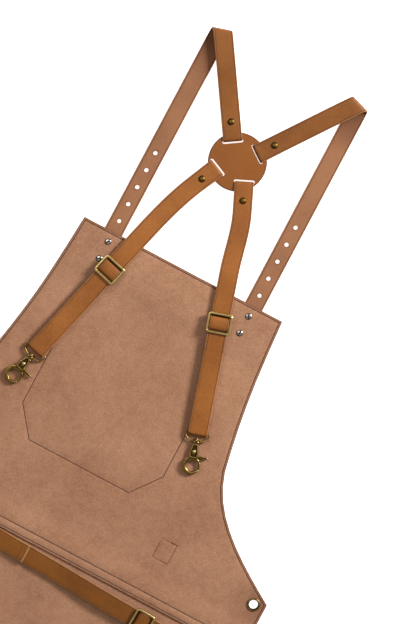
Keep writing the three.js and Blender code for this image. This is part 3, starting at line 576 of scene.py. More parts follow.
def stitches(context, name, body, runs, finish="bonded_thread", sink=0.0):
    """One mesh of single stitches along every run of (points, normals)."""
    pitch = context.scene.apron_leather.stitch_pitch
    vertices, faces = [], []
    for points, normals in runs:
        for n, (centre, along, up) in enumerate(walk(points, normals, pitch)):
            side = along.cross(up).normalized()
            lean = side * (0.06 if n % 2 else 0.02)
            line = (along + lean).normalized()
            first = len(vertices)
            half = pitch * STITCH_SHARE / 2
            low = centre - up * sink * MM
            for s, k in ((-0.78, 0.75), (0.0, 1.0), (0.78, 0.75)):
                for j in range(STITCH_SIDES):
                    a = 2 * math.pi * j / STITCH_SIDES
                    rise = math.sin(a) * (0.3 if math.sin(a) > 0 else 0.1) * k
                    vertices.append(low + line * s * half + up * rise * MM
                                    + side * (math.cos(a) * STITCH_W / 2 * k * MM))
            vertices.append(low - line * half - up * 0.08 * MM)
            vertices.append(low + line * half - up * 0.08 * MM)
            for ring in range(2):
                for j in range(STITCH_SIDES):
                    k = (j + 1) % STITCH_SIDES
                    base = first + ring * STITCH_SIDES
                    faces.append((base + j, base + k, base + STITCH_SIDES + k, base + STITCH_SIDES + j))
            for j in range(STITCH_SIDES):
                k = (j + 1) % STITCH_SIDES
                faces.append((first + 3 * STITCH_SIDES, first + k, first + j))
                last = first + 2 * STITCH_SIDES
                faces.append((first + 3 * STITCH_SIDES + 1, last + j, last + k))
    made = outward(make_object(name, vertices, faces))
    return dress(context, made, body, finish)


# ---- body panels ----


def border_loops(faces):
    """The border of a patch of faces as closed loops of vertex positions."""
    inside = set(faces)
    follow = {}
    for f in faces:
        for loop in f.loops:
            if not any(g in inside and g is not f for g in loop.edge.link_faces):
                follow[loop.vert] = loop.link_loop_next.vert
    loops = []
    while follow:
        at = next(iter(follow))
        line = []
        while at in follow:
            line.append(Vector((at.co.x, at.co.y)))
            at = follow.pop(at)
        loops.append(line)
    return loops


def loop_length(loop):
    """The length of a closed loop."""
    return sum((b - a).length for a, b in zip(loop, loop[1:] + loop[:1]))


def loop_area(loop):
    """The area inside a closed loop."""
    return abs(sum(a.x * b.y - b.x * a.y for a, b in zip(loop, loop[1:] + loop[:1]))) / 2


def outline_of(node_name):
    """A panel's outline and then its holes, seen from above, from its CAD solid."""
    bm = bmesh.new()
    bm.from_mesh(frame["nodes"][node_name].data)
    bmesh.ops.remove_doubles(bm, verts=bm.verts, dist=WELD)
    bm.normal_update()
    loops = border_loops([f for f in bm.faces if f.normal.z > 0.5])
    bm.free()
    return sorted(loops, key=loop_length, reverse=True)


def densified(loop, step):
    """A loop with points added so that none are further apart than step."""
    made = []
    for a, b in zip(loop, loop[1:] + loop[:1]):
        parts = max(1, math.ceil((b - a).length / step))
        made += [a.lerp(b, i / parts) for i in range(parts)]
    return made


def moved_in(loop, distance):
    """A loop moved to its left by a distance, its corners mitred."""
    made = []
    for before, here, after in zip(loop[-1:] + loop[:-1], loop, loop[1:] + loop[:1]):
        a, b = (here - before).normalized(), (after - here).normalized()
        left_a, left_b = Vector((-a.y, a.x)), Vector((-b.y, b.x))
        middle = (left_a + left_b).normalized()
        made.append(here + middle * (distance / max(0.4, middle.dot(left_a))))
    return made


def inside_loop(points, loop):
    """Which of the points (an array of x, y) lie inside a loop."""
    x, y = points[:, 0], points[:, 1]
    inside = np.zeros(len(points), bool)
    for a, b in zip(loop, loop[1:] + loop[:1]):
        if a.y == b.y:
            continue
        crosses = (a.y > y) != (b.y > y)
        inside ^= crosses & (x < (b.x - a.x) * (y - a.y) / (b.y - a.y) + a.x)
    return inside


def scatter(loop, holes, step, rows):
    """Points over the inside of a loop, one step apart, with extra rows across at the given heights."""
    xs, ys = [p.x for p in loop], [p.y for p in loop]
    points = []
    for n, y in enumerate(np.arange(min(ys), max(ys), step * 0.87)):
        if all(abs(y - row) > step * 0.5 for row in rows):
            points += [(x, y) for x in np.arange(min(xs) + (n % 2) * step / 2, max(xs), step)]
    for row in rows:
        points += [(x, row) for x in np.arange(min(xs), max(xs), step * 0.6)]
    points = np.array(points)
    points = points[inside_loop(points, loop)]
    for line in [loop] + holes:
        near = np.array([tuple(p) for p in densified(line, step / 4)])
        clear = np.ones(len(points), bool)
        for chunk in np.array_split(np.arange(len(points)), 20):
            gaps = np.linalg.norm(points[chunk, None, :] - near[None, :, :], axis=2)
            clear[chunk] = gaps.min(1) > step * 0.3
        points = points[clear]
    return [Vector(p) for p in points]


# loops in from a piece's edge: (inset, sink, darkness)
PANEL_RINGS = ((0.0, 0.42, 1.0), (0.35, 0.08, 0.9), (1.0, 0.0, 0.3), (2.4, 0.0, 0.25), (3.3, 0.25, 1.0),
               (4.2, 0.0, 0.0))
# the loop that the border's stitches follow
PANEL_SEAM = 4
DISK_RINGS = ((0.0, 0.7, 0.75), (0.3, 0.25, 0.7), (0.9, 0.03, 0.5), (1.5, 0.0, 0.15), (2.4, 0.0, 0.0))


def sheet_mesh(source, name, height, thickness, step, swell, rings, marks, rows=(), lines=(), tint=None):
    """A flat piece with a rounded rim, cut to its CAD outline. height(x, y) is its underside, swell(x, y)
    how far its face rises, rings its loops in from the edge (inset, sink, mark), marks the names of the
    attributes that hold the rim's mark and the underside, lines the open rows (points, sink, mark)
    pressed into it, and tint(x, y) the least mark. Gives the object and its loops."""
    outline, *holes = outline_of(source)
    if sum(a.x * b.y - b.x * a.y for a, b in zip(outline, outline[1:] + outline[:1])) < 0:
        outline.reverse()
    outline = densified(outline, step * 0.7)
    points, edges, kinds = [], [], []
    loops = [moved_in(outline, inset * MM) for inset, _, _ in rings]
    for n, loop in enumerate(loops + holes):
        first = len(points)
        points += loop
        kinds += [n] * len(loop)
        edges += [(first + i, first + (i + 1) % len(loop)) for i in range(len(loop))]
    looks = [(sink, mark) for _, sink, mark in rings] + [(0.0, 0.0)] * len(holes)
    for line, sink, mark in lines:
        first = len(points)
        points += line
        kinds += [len(looks)] * len(line)
        looks.append((sink, mark))
        edges += [(first + i, first + i + 1) for i in range(len(line) - 1)]
    inner = scatter(loops[-1], holes + [line for line, _, _ in lines], step, rows)
    points += inner
    kinds += [-1] * len(inner)
    flat, _, triangles, origins, _, _ = delaunay_2d_cdt(points, edges, [], 0, 1e-7)
    kinds = [kinds[o[0]] if o else -1 for o in origins]
    centres = np.array([tuple((flat[a] + flat[b] + flat[c]) / 3) for a, b, c in triangles])
    keep = inside_loop(centres, outline)
    for hole in holes:
        keep &= ~inside_loop(centres, hole)
    vertices, rim, under = [], [], []
    for down in (False, True):
        for p, kind in zip(flat, kinds):
            sink, mark = looks[kind] if kind >= 0 else (0.0, 0.0)
            face = sink if down else thickness - sink + swell(p.x, p.y)
            vertices.append((p.x, p.y, (height(p.x, p.y) + face) * MM))
            rim.append(max(mark, tint(p.x, p.y)) if tint else mark)
            under.append(float(down and kind != 0))
    count = len(flat)
    faces, used = [], {}
    for (a, b, c), kept in zip(triangles, keep):
        if kept:
            faces += [(a, b, c), (a + count, c + count, b + count)]
            used.update({(a, b): True, (b, c): True, (c, a): True})
    for a, b in used:
        if (b, a) not in used:
            faces.append((b, a, a + count, b + count))
    made = make_object(name, vertices, faces, {marks[0]: rim, marks[1]: under})
    return outward(made), loops


# how deep thread presses into leather
PRESSED = 0.2


def pressed_row(line):
    """A stitch row's dent: three open lines side by side, the middle one low and dark."""
    normals = []
    for before, after in zip(line[:1] + line[:-1], line[1:] + line[-1:]):
        along = (after - before).normalized()
        normals.append(Vector((-along.y, along.x)) * 0.9 * MM)
    return [([p + n for p, n in zip(line, normals)], 0.0, 0.0), (line, PRESSED, 1.0),
            ([p - n for p, n in zip(line, normals)], 0.0, 0.0)]


def handled(x, y):
    """How dark hands and ties have rubbed the waist corners round the grommets."""
    gaps = [math.hypot(x - side * WAIST_HALF * MM, y - BIB_TOP_Y + CORNER_DROP * MM) / MM for side in (-1, 1)]
    return 0.5 * math.exp(-(min(gaps) / 34) ** 2)


def leather_panel(context, name, height, thickness, step, swell, rows=(), lines=()):
    """A body panel in suede. Gives its stitch line."""
    made, loops = sheet_mesh(name, f"{name}_leather", lambda x, y: height(x, y) + lie(x, y), thickness, step,
                            swell, PANEL_RINGS, ("rim", "front"), rows, lines, handled)
    dress(context, made, APRON, "suede_cowhide", replaces=(name,))
    lo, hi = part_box(name)
    loop_area(outline_of(name)[0])
    return loops[PANEL_SEAM]


def on_panel(line, up, height, lift=0.0):
    """A stitch row's points and normals on a body panel's face, or on its underside."""
    top = PANEL_T + lift - PRESSED if up else PRESSED
    points = [Vector((p.x, p.y, (height(p.x, p.y) + lie(p.x, p.y) + top) * MM)) for p in line]
    return points, [Vector((0, 0, 1.0 if up else -1.0))] * len(line)


def bib_height(x, y):
    """Underside of the bib: over the strap ends at the top, on the pocket, over the skirt at the waist."""
    return float(np.interp((BIB_TOP_Y - y) / MM, (52, 75, 366, 382), (BIB_TOP_Z, BIB_Z, BIB_Z, SEAM_Z)))


def sewn_through(line, below=None):
    """A row sewn through the bib: on its face, and on the layer that has this underside."""
    return [on_panel(line, True, bib_height), on_panel(line, False, below or bib_height)]


def skirt_height(x, y):
    """Underside of the skirt: under the bib at the waist, on the floor below."""
    return float(np.interp((BIB_TOP_Y - y) / MM, (428, 470), (BIB_Z, 0.0)))


def groove(distance, width, depth):
    """How far a stitch row presses the leather in, this far from the row."""
    return -depth * math.exp(-(distance / width) ** 2)


def seam_swell(x, y):
    """The doubled seam's soft roll between its two stitch rows."""
    drop = (BIB_TOP_Y - y) / MM
    middle = (SEAM_LINE_DROP + SEAM_DROP - 3.2) / 2
    return (0.28 * math.exp(-((drop - middle) / 3.2) ** 2)
            + groove(drop - SEAM_LINE_DROP, 1.3, 0.2))


def lie(x, y):
    """How leather that was rolled once lies: a few tenths of a millimetre up and down."""
    return 0.1 * noise.noise(Vector((x, y, 0.0)) * 14.0)


class APRON_OT_body_panels(Operator):
    """Bib, skirt, chest pocket and front patch, with their stitch rows"""
    bl_idname = "apron.body_panels"
    bl_label = "Body Panels"

    def execute(self, context):
        seam_heights = [BIB_TOP_Y - d * MM for d in (395.5, 396.8, 398, 399.2, 400.4)]
        lines = []
        seam, pocket, patch = self.seam_line(), self.pocket_line(), self.patch_line()
        for row in (seam, pocket, patch):
            lines += pressed_row(row)
        bib_line = leather_panel(context, "bib_panel", bib_height, PANEL_T, 7 * MM, seam_swell,
                                 seam_heights, lines)
        skirt_line = leather_panel(context, "skirt_panel", skirt_height, PANEL_T, 9 * MM,
                                   lambda x, y: 0.0)
        runs = sewn_through(bib_line + bib_line[:1])
        seam_y = BIB_TOP_Y - (SEAM_DROP + 2) * MM
        closed = skirt_line + skirt_line[:1]
        runs.append(on_panel(first_stretch(closed + skirt_line, lambda p: p.y < seam_y), True, skirt_height))
        runs.append(on_panel(closed, False, skirt_height))
        runs += sewn_through(seam, skirt_height) + sewn_through(pocket, lambda x, y: -0.1)
        stitches(context, "stitching_body", APRON, runs)
        patch_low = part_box("front_patch")[0].z / MM - 0.1
        stitches(context, "stitching_patch", APRON, sewn_through(patch, lambda x, y: patch_low),
                 "bonded_tan_thread")
        # a loose end of dark thread crosses the patch's top row
        mend = [patch[0].lerp(patch[5], 0.62) + Vector((0, 0.5 * MM)), patch[5] + Vector((0.6, 0.5)) * MM]
        stitches(context, "stitching_patch_mend", APRON, [on_panel(mend, True, bib_height, 0.3)], sink=-0.05)
        for name in ("chest_pocket", "front_patch"):
            lo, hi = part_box(name)
            leather_panel(context, name, lambda x, y: lo.z / MM, (hi.z - lo.z) / MM, 12 * MM,
                          lambda x, y: 0.0)
        return {"FINISHED"}

    @staticmethod
    def seam_line():
        """The row across the waist, where the bib is sewn over the skirt."""
        ends = (WAIST_HALF - 15) * MM
        y = BIB_TOP_Y - SEAM_LINE_DROP * MM
        return [Vector((x, y)) for x in np.linspace(-ends, ends, 96)]

    @staticmethod
    def pocket_line():
        """The chest pocket's outline on the bib: open at the top, its lower corners cut."""
        half, cut_half, shoulder, bottom, top = 103, 73, 250, 289, 133
        corners = [(half, -top), (half, -shoulder), (cut_half, -bottom), (-cut_half, -bottom),
                   (-half, -shoulder), (-half, -top)]
        line = []
        for (ax, ay), (bx, by) in zip(corners, corners[1:]):
            count = 20
            for t in range(count):
                line.append(place(ax + (bx - ax) * t / count, ay + (by - ay) * t / count, 0).xy)
        return line + [place(*corners[-1], 0).xy]

    @staticmethod
    def patch_line():
        """The square row round the front patch."""
        lo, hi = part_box("front_patch")
        centre = (lo + hi) / 2
        corners = [Vector((centre.x + sx * 11 * MM, centre.y + sy * 13.5 * MM))
                   for sx, sy in ((-1, 1), (1, 1), (1, -1), (-1, -1), (-1, 0.96))]
        line = []
        for a, b in zip(corners, corners[1:]):
            line += [a.lerp(b, t / 5) for t in range(5)]
        return line + corners[-1:]


def first_stretch(line, keep):
    """The first stretch of a line, two points or longer, whose points all pass a test."""
    part = []
    for p in line:
        if keep(p):
            part.append(p)
        elif len(part) > 1:
            break
        else:
            part = []
    return part


# ---- straps ----
# A strap is a run of stations: (left edge, right edge, inward vector). The edges lie on its grain face,
# and the inward vector goes to its flesh face, as long as the strap is thick there. All in metres.


def strap_section(width):
    """Points round a strap's section: (share across, share of thickness, flesh, edge, dark)."""
    rim = [(0.0, 0.30, 1.0, 0.0), (0.14, 0.12, 0.9, 0.0), (0.5, 0.02, 0.3, 0.0), (1.0, 0.0, 0.0, 0.1),
           (STITCH_INSET - 0.6, 0.02, 0.0, 0.15), (STITCH_INSET, 0.09, 0.0, 0.6),
           (STITCH_INSET + 0.6, 0.02, 0.0, 0.0), (STITCH_INSET + 1.0, 0.0, 0.0, 0.0),
           (width * 0.3, -0.02, 0.0, 0.0)]
    left = [(a / width, d, e, s) for a, d, e, s in rim]
    grain = left + [(0.5, -0.025, 0.0, 0.0)] + [(1 - a, d, e, s) for a, d, e, s in reversed(left)]
    points = [(a, d, 0.0, e, s) for a, d, e, s in grain]
    points += [(a, 1.0 - max(d, 0.0), 1.0, e * 0.4, s * 1.15) for a, d, e, s in reversed(grain)]
    return points


def refine(stations, step):
    """Adds stations so that none are further apart than step."""
    made = [stations[0]]
    for a, b in zip(stations, stations[1:]):
        middle_a, middle_b = (a[0] + a[1]) / 2, (b[0] + b[1]) / 2
        parts = max(1, math.ceil((middle_b - middle_a).length / step))
        for i in range(1, parts + 1):
            t = i / parts
            made.append(tuple(p.lerp(q, t) for p, q in zip(a, b)))
    return made


def relax(stations, passes):
    """Softens a strap's kinks, keeping its ends."""
    for _ in range(passes):
        softer = [stations[0]]
        for a, b, c in zip(stations, stations[1:], stations[2:]):
            softer.append(tuple((p + 2 * q + r) / 4 for p, q, r in zip(a, b, c)))
        softer.append(stations[-1])
        stations = softer
    return stations


def strap_mesh(name, stations, width, crease=None):
    """A strap's skin through its stations, with its ends rounded over."""
    section = strap_section(width)
    near, far = 0.3 * MM, 0.05
    vertices, flesh, edge, creased_and_shaded = [], [], [], []
    for i, (left, right, inward) in enumerate(stations):
        end = i in (0, len(stations) - 1)
        for share, depth, f, e, dark in section:
            if end:
                share = 0.5 + (share - 0.5) * (1 - near / (width * MM))
                depth = 0.5 + (depth - 0.5) * (1 - 3 * far)
            vertices.append(left.lerp(right, share) + inward * depth)
            flesh.append(f)
            edge.append(max(e, 1.0 if end else 0.0))
            # crease(i) adds painted shade at a station to the section's dark creased lines
            creased_and_shaded.append(min(1.0, dark + (crease(i) if crease else 0.0)))
    faces = list(ring_faces(len(stations), len(section), False))
    made = make_object(name, vertices, faces, {"flesh": flesh, "edge": edge, "crease": creased_and_shaded})
    return outward(made)


def strap_flat(stations, width):
    """A strap's flat size in metres: its width, and its length along its middle."""
    middles = [(left + right + inward) / 2 for left, right, inward in stations]
    return width * MM, sum((b - a).length for a, b in zip(middles, middles[1:]))


def strap_rows(stations, width, outer=True, inner=True):
    """Stitch rows near both edges of a strap, on its grain face, its flesh face or both."""
    rows = []
    for share in (STITCH_INSET / width, 1 - STITCH_INSET / width):
        if outer:
            rows.append(([left.lerp(right, share) + inward * 0.09 for left, right, inward in stations],
                         [-inward.normalized() for _, _, inward in stations]))
        if inner:
            rows.append(([left.lerp(right, share) + inward * 0.91 for left, right, inward in stations],
                         [inward.normalized() for _, _, inward in stations]))
    return rows


def station(middle, across, inward, width, thickness=STRAP_T):
    """A station from its middle point, all lengths in millimetres."""
    half = across * (width / 2)
    return (place(*(middle - half)), place(*(middle + half)), inward * thickness * MM)


def slot_at(side, from_up, lean, down):
    """The middle of a disk slot and the way its strap leaves it."""
    a = math.radians(from_up)
    spot = Vector((DISK_X + side * SLOT_FROM_CENTRE * math.sin(a),
                   DISK_Y + SLOT_FROM_CENTRE * math.cos(a), 0))
    lean = math.radians(lean)
    return spot, Vector((side * math.sin(lean), (-1 if down else 1) * math.cos(lean), 0))


def slots():
    """The disk's four slots by their straps' names."""
    made = {}
    for name, side in SIDES.items():
        made[f"upper_{name}"] = slot_at(side, 41, SHOULDER_LEAN[name], False)
        made[f"lower_{name}"] = slot_at(side, 133, LOWER_LEAN, True)
    return made


def wrap(spot, out, pull=1.4):
    """Stations round the disk, from the layer on top to the strap's end below. The strap is pulled
    this far towards the disk's rim, so that its slot stands open behind it."""
    outer = WRAP_GAP / 2 + STRAP_T
    middle = DISK_STRAP_Z - WRAP_GAP / 2
    lift = WRAP_GAP - CLEAR
    turns = [(RIM_OUT, middle + outer, -90)]
    turns += [(pull + outer * math.cos(math.radians(a)), middle + outer * math.sin(math.radians(a)), a + 180)
              for a in range(90, 271, 12)]
    turns += [(RIM_OUT - 2, middle - outer, 90), (RIM_OUT + 4, middle - outer + lift, 90),
              (RETURN_OUT, middle - outer + lift, 90)]
    across = Vector((out.y, -out.x, 0))
    made = []
    for s, z, a in turns:
        p = spot + out * (WALL + s)
        p.z = z
        a = math.radians(a)
        inward = Vector((out.x * math.cos(a), out.y * math.cos(a), math.sin(a)))
        made.append(station(p, across, inward, STRAP_W))
    return made


def shoulder_stations(name):
    """A shoulder strap: flesh side up from the bib, over a slanted fold, grain side up to the disk."""
    side = SIDES[name]
    spot, out = slots()[f"upper_{name}"]
    x0 = side * STRAP_X
    slant = math.radians(SHOULDER_LEAN[name]) / 2
    crease = Vector((-side * math.cos(slant), math.sin(slant), 0))
    over = Vector((side * math.sin(slant), math.cos(slant), 0))
    shift = math.pi * FOLD_R * math.tan(slant)
    reach = (spot.x - x0 - shift * crease.x) / -out.x
    y0 = spot.y + reach * out.y - shift * crease.y
    across = Vector((1, 0, 0))
    up, down = Vector((0, 0, 1)), Vector((0, 0, -1))
    run = [station(Vector((x0, y, z)), across, up, STRAP_W)
           for y, z in ((-STRAP_TUCK, 1.7), (8, 1.7), (40, 0), (y0 - 40, 0))]
    run = relax(refine(run, 4 * MM), 4)
    fold = []
    steps = 16
    for i in range(steps + 1):
        turn = math.pi * i / steps
        ends = []
        for w in (-STRAP_W / 2, STRAP_W / 2):
            s = (FOLD_R * turn - w * side * math.sin(slant)) / math.cos(slant)
            b = s * math.sin(slant) - w * side * math.cos(slant)
            bulge = FOLD_R * math.sin(turn)
            ends.append(place(x0 + over.x * bulge + crease.x * b, y0 + over.y * bulge + crease.y * b,
                              FOLD_R * (1 - math.cos(turn))))
        inward = Vector((-over.x * math.sin(turn), -over.y * math.sin(turn), math.cos(turn)))
        fold.append((ends[0], ends[1], inward * STRAP_T * MM))
    back = -out
    across = Vector((out.y, -out.x, 0))
    from_fold = spot + back * (45 - reach)
    from_fold.z = 2 * FOLD_R - 0.4
    near_disk = spot + out * (WALL + RETURN_OUT + 6)
    near_disk.z = DISK_STRAP_Z + STRAP_T
    upper = [station(from_fold, across, down, STRAP_W), station(near_disk, across, down, STRAP_W)]
    rest = upper + wrap(spot, out, 1.4 if side < 0 else 0.3)
    made = refine(run + fold + rest, 4 * MM)
    # painted shade on the flesh face in and below the fold, fading out 70 mm from it
    fold_at = fold[0][0]
    shade = [max(0.0, 1.0 - ((s[0] + s[1]) / 2 - fold_at).length / 0.07) if s[2].z > 0 else 0.0
             for s in made]
    return relax(made, 2), shade


def punched(made, x, heights):
    """Punches round holes through a strap that lies flat."""
    cutters = []
    for y in heights:
        bm = bmesh.new()
        bmesh.ops.create_cone(bm, cap_ends=True, segments=28, radius1=HOLE_R * MM, radius2=HOLE_R * MM,
                              depth=12 * MM, matrix=Matrix.Translation(place(x, y, 0)))
        cutters.append(from_bmesh("punch", bm))
    solid_cut(made, cutters)


class APRON_OT_shoulder_straps(Operator):
    """The two shoulder straps with their punched holes"""
    bl_idname = "apron.shoulder_straps"
    bl_label = "Shoulder Straps"

    def execute(self, context):
        for name, side in SIDES.items():
            stations, shade = shoulder_stations(name)
            made = strap_mesh(f"shoulder_strap_{name}_leather", stations, STRAP_W, lambda i: 0.8 * shade[i])
            punched(made, side * STRAP_X, [HOLE_FIRST + i * HOLE_PITCH for i in range(HOLE_COUNT)])
            dress(context, made, APRON, "waxed_shoulder_cowhide", (f"shoulder_strap_{name}",))
            strap_flat(stations, STRAP_W)
            shown = [s for s in stations if s[0].y > BIB_TOP_Y + 2 * MM]
            stitches(context, f"stitching_shoulder_{name}", APRON, strap_rows(shown, STRAP_W),
                     "waxed_strap_thread", sink=0.1)
        return {"FINISHED"}


def unit_frame(name):
    """A slide unit's own frame: +X along its strap to the hook, its strap's underside at z = 0.
    Also gives how far its doubled strap's turn lies from the slide."""
    joints = {j["name"]: j for j in frame["joints"]}
    out = -Vector(joints[f"slide_{name}_along_strap"]["axis"]).normalized()
    across = Vector((-out.y, out.x, 0)).normalized()
    up = out.cross(across)
    lo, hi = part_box(f"slide_frame_{name}")
    middle = (lo + hi) / 2 - up * WIRE_Z * MM
    made = Matrix((out, across, up)).transposed().to_4x4()
    made.translation = middle
    eye = Vector(joints[f"hook_eye_{name}_tilt"]["pos_m"])
    return made, (eye - middle).dot(out) / MM


def lower_stations(name):
    """A lower strap: round the disk, down in a soft curve, and straight through its slide."""
    side = SIDES[name]
    spot, out = slots()[f"lower_{name}"]
    unit, turn_x = unit_frame(name)
    run = direction(CHEST_LEAN[name], side)
    slide = unit.translation / MM
    slide.y -= BIB_TOP_Y / MM
    made = list(reversed(wrap(spot, out)))
    start = spot + out * (WALL + RETURN_OUT + 6)
    from_slide = -TRAVEL - SLIDE_HALF - 4
    end = Vector((slide.x, slide.y, 0)) + run * from_slide
    pull = (end - start).length / 3
    knots = [start, start + out * pull, end - run * pull, end]
    end_z = ADJUSTER_Z - from_slide * UNIT_FALL
    down = Vector((0, 0, -1))
    steps = 40
    for i in range(steps + 1):
        t = i / steps
        a, b, c, d = ((1 - t) ** 3, 3 * t * (1 - t) ** 2, 3 * t * t * (1 - t), t ** 3)
        p = knots[0] * a + knots[1] * b + knots[2] * c + knots[3] * d
        tangent = ((knots[1] - knots[0]) * (1 - t) ** 2 + (knots[2] - knots[1]) * 2 * t * (1 - t)
                   + (knots[3] - knots[2]) * t * t).normalized()
        p.z = DISK_STRAP_Z + (end_z - DISK_STRAP_Z) * t + STRAP_T
        made.append(station(p, Vector((tangent.y, -tangent.x, 0)), down, STRAP_W))
    tongue = turn_x + WIRE_R - TRAVEL / 2 - 12
    last = Vector((slide.x, slide.y, 0)) + run * tongue
    last.z = ADJUSTER_Z - tongue * UNIT_FALL + STRAP_T
    made.append(station(last, Vector((run.y, -run.x, 0)), down, STRAP_W))
    return relax(refine(made, 4 * MM), 2)


class APRON_OT_lower_straps(Operator):
    """The two straps from the disk down to the slides"""
    bl_idname = "apron.lower_straps"
    bl_label = "Lower Straps"

    def execute(self, context):
        for name in SIDES:
            stations = lower_stations(name)
            made = strap_mesh(f"lower_strap_{name}_leather", stations, STRAP_W)
            dress(context, made, APRON, "waxed_strap_cowhide", (f"lower_strap_{name}",))
            strap_flat(stations, STRAP_W)
            stitches(context, f"stitching_lower_{name}", APRON, strap_rows(stations, STRAP_W),
                     "waxed_strap_thread", sink=0.1)
        return {"FINISHED"}


def strap_look(name):
    """A unit's strap finish and width."""
    return ("waxed_belt_cowhide", BELT_W) if name == "belt" else ("waxed_strap_cowhide", STRAP_W)


def in_unit(unit, points, width):
    """Stations in a slide unit's frame, from (x, height of the outer face, inward angle, thickness)."""
    made = []
    for x, z, angle, thickness in points:
        a = math.radians(angle)
        inward = unit.to_3x3() @ Vector((math.cos(a), 0, math.sin(a))) * thickness * MM
        ends = [unit @ (Vector((x, y, z)) * MM) for y in (-width / 2, width / 2)]
        made.append((ends[0], ends[1], inward))
    return made


class APRON_OT_strap_ends(Operator):
    """The doubled strap ends that go round the hook eyes"""
    bl_idname = "apron.strap_ends"
    bl_label = "Strap Ends"

    def execute(self, context):
        for name in UNITS:
            finish, width = strap_look(name)
            unit, turn_x = unit_frame(name)
            outer = LOOP_GAP / 2 + STRAP_T
            points = [(DOUBLED_START, DOUBLE_Z + STRAP_T, -90, STRAP_T)]
            points += [(turn_x + outer * math.cos(math.radians(a)),
                        EYE_Z + outer * math.sin(math.radians(a)), a + 180, STRAP_T)
                       for a in range(90, -91, -12)]
            points.append((DOUBLED_UNDER, EYE_Z - outer, 90, STRAP_T))
            stations = refine(in_unit(unit, points, width), 4 * MM)
            body = f"strap_end_{name}"
            made = strap_mesh(f"{body}_leather", stations, width)
            dress(context, made, body, finish, (body,))
            stitches(context, f"stitching_end_{name}", body, strap_rows(stations, width, inner=False),
                     "waxed_strap_thread", sink=0.2)
        return {"FINISHED"}


# ---- slides ----


def frame_bar(path, along_path, section):
    """A bar of one section round a closed path in a slide unit's frame."""
    vertices, wear_and_shade = [], []
    for p, out in zip(path, along_path):
        for across, up, w in section:
            vertices.append(p + out * across + Vector((0, 0, up)))
            wear_and_shade.append(w)
    faces = list(ring_faces(len(path), len(section), True))
    return vertices, faces, wear_and_shade


# a cast bar, rubbed bright on top and dark towards the strap: (across, up, wear)
CAST_BAR = ((1.8, -1.3, 0.2), (2.15, -0.6, 0.3), (2.15, 0.4, 0.5), (1.85, 1.0, 0.8), (1.3, 1.32, 0.85),
            (0.4, 1.42, 0.72), (-0.4, 1.35, 0.66), (-1.0, 1.0, 0.5), (-1.35, 0.35, 0.12), (-1.35, -0.9, 0.0),
            (-1.0, -1.3, 0.0))


def slide_frame(context, name, width):
    """The slide's rectangular frame, its corners round."""
    unit, _ = unit_frame(name)
    half_x = SLIDE_HALF - WIRE_R
    half_y = width / 2 + CLEAR + WIRE_R
    r = 2.2
    path, outs = [], []
    for sx, sy, start in ((1, 1, 0), (-1, 1, 90), (-1, -1, 180), (1, -1, 270)):
        for step in range(0, 91, 15):
            a = math.radians(start + step)
            out = Vector((math.cos(a), math.sin(a), 0))
            path.append(Vector((sx * (half_x - r), sy * (half_y - r), WIRE_Z)) + out * r)
            outs.append(out)
    vertices, faces, wear_and_shade = frame_bar(path, outs, CAST_BAR)
    made = make_object(f"slide_frame_{name}_cast", [unit @ (v * MM) for v in vertices], faces, {"wear_and_shade": wear_and_shade})
    outward(made)
    dress(context, made, f"slide_{name}", "antique_brass_plate", (f"slide_frame_{name}",))


def slide_loop(context, name, finish, width):
    """The strap where it humps up inside its slide, and the smooth tail that meets the doubled end."""
    unit, _ = unit_frame(name)
    # (x along the unit, height of the outer face, thickness)
    top = DOUBLE_Z + STRAP_T
    hump = [(-11.8, 2.6, 0.3), (-9.2, 2.7, 0.4), (-8.5, 3.2, 0.6), (-8.1, 4.6, 1.2), (-7.0, 5.7, 1.6),
            (-4.5, 6.3, 1.7), (-1, 6.6, 1.7), (2, 6.55, 1.7), (5, 6.15, 1.4), (7.2, 5.55, 0.9),
            (8.1, 4.95, 0.3), (8.7, top + 0.28, 0.14), (14, top + 0.26, 0.14), (28, top + 0.2, 0.1),
            (34, top + 0.14, 0.05), (36, top + 0.1, 0.02)]
    slim = width - 0.1
    points = [(x, z, -90, t) for x, z, t in hump]
    stations = relax(refine(in_unit(unit, points, slim), 1.0 * MM), 1)
    body = f"slide_{name}"
    local = unit.inverted()
    along = [(local @ s[0]).x / MM for s in stations]
    # painted shade where the strap dips under the slide's bars, either side of its hump
    shade = [float(np.interp(x, (-9.0, -8.0, 7.4, 8.4, 10.2, 11.5), (1, 0, 0, 1, 1, 0))) for x in along]
    made = strap_mesh(f"slide_loop_{name}_leather", stations, slim, lambda i: shade[i])
    edge = made.data.attributes["edge"]
    values = [0.0 if (local @ v.co).x / MM > 33 else edge.data[v.index].value for v in made.data.vertices]
    edge.data.foreach_set("value", values)
    dress(context, made, body, finish)
    shown = [s for s, x in zip(stations, along) if x > 9]
    stitches(context, f"stitching_loop_{name}", body, strap_rows(shown, slim, inner=False),
             "waxed_strap_thread", sink=0.02)


class APRON_OT_slides(Operator):
    """The slide buckles, their centre bars, and the strap that humps up inside them"""
    bl_idname = "apron.slides"
    bl_label = "Slides"

    def execute(self, context):
        for name in UNITS:
            finish, width = strap_look(name)
            slide_frame(context, name, width)
            slide_loop(context, name, finish, width)
            bar = cast(context, f"slide_bar_{name}", f"slide_bar_{name}_cast", 6)
            dress(context, bar, f"slide_{name}", "antique_brass_plate", (f"slide_bar_{name}",))
        return {"FINISHED"}


# ---- cast pieces ----


def neighbour_mean(mesh, values):
    """For each vertex, the mean of its neighbours' values."""
    edges = np.empty(len(mesh.edges) * 2, np.int64)
    mesh.edges.foreach_get("vertices", edges)
    edges = edges.reshape(-1, 2)
    total = np.zeros_like(values)
    count = np.zeros(len(values))
    for a, b in ((0, 1), (1, 0)):
        np.add.at(total, edges[:, a], values[edges[:, b]])
        np.add.at(count, edges[:, a], 1)
    shape = (-1,) + (1,) * (values.ndim - 1)
    return total / np.maximum(count, 1).reshape(shape)


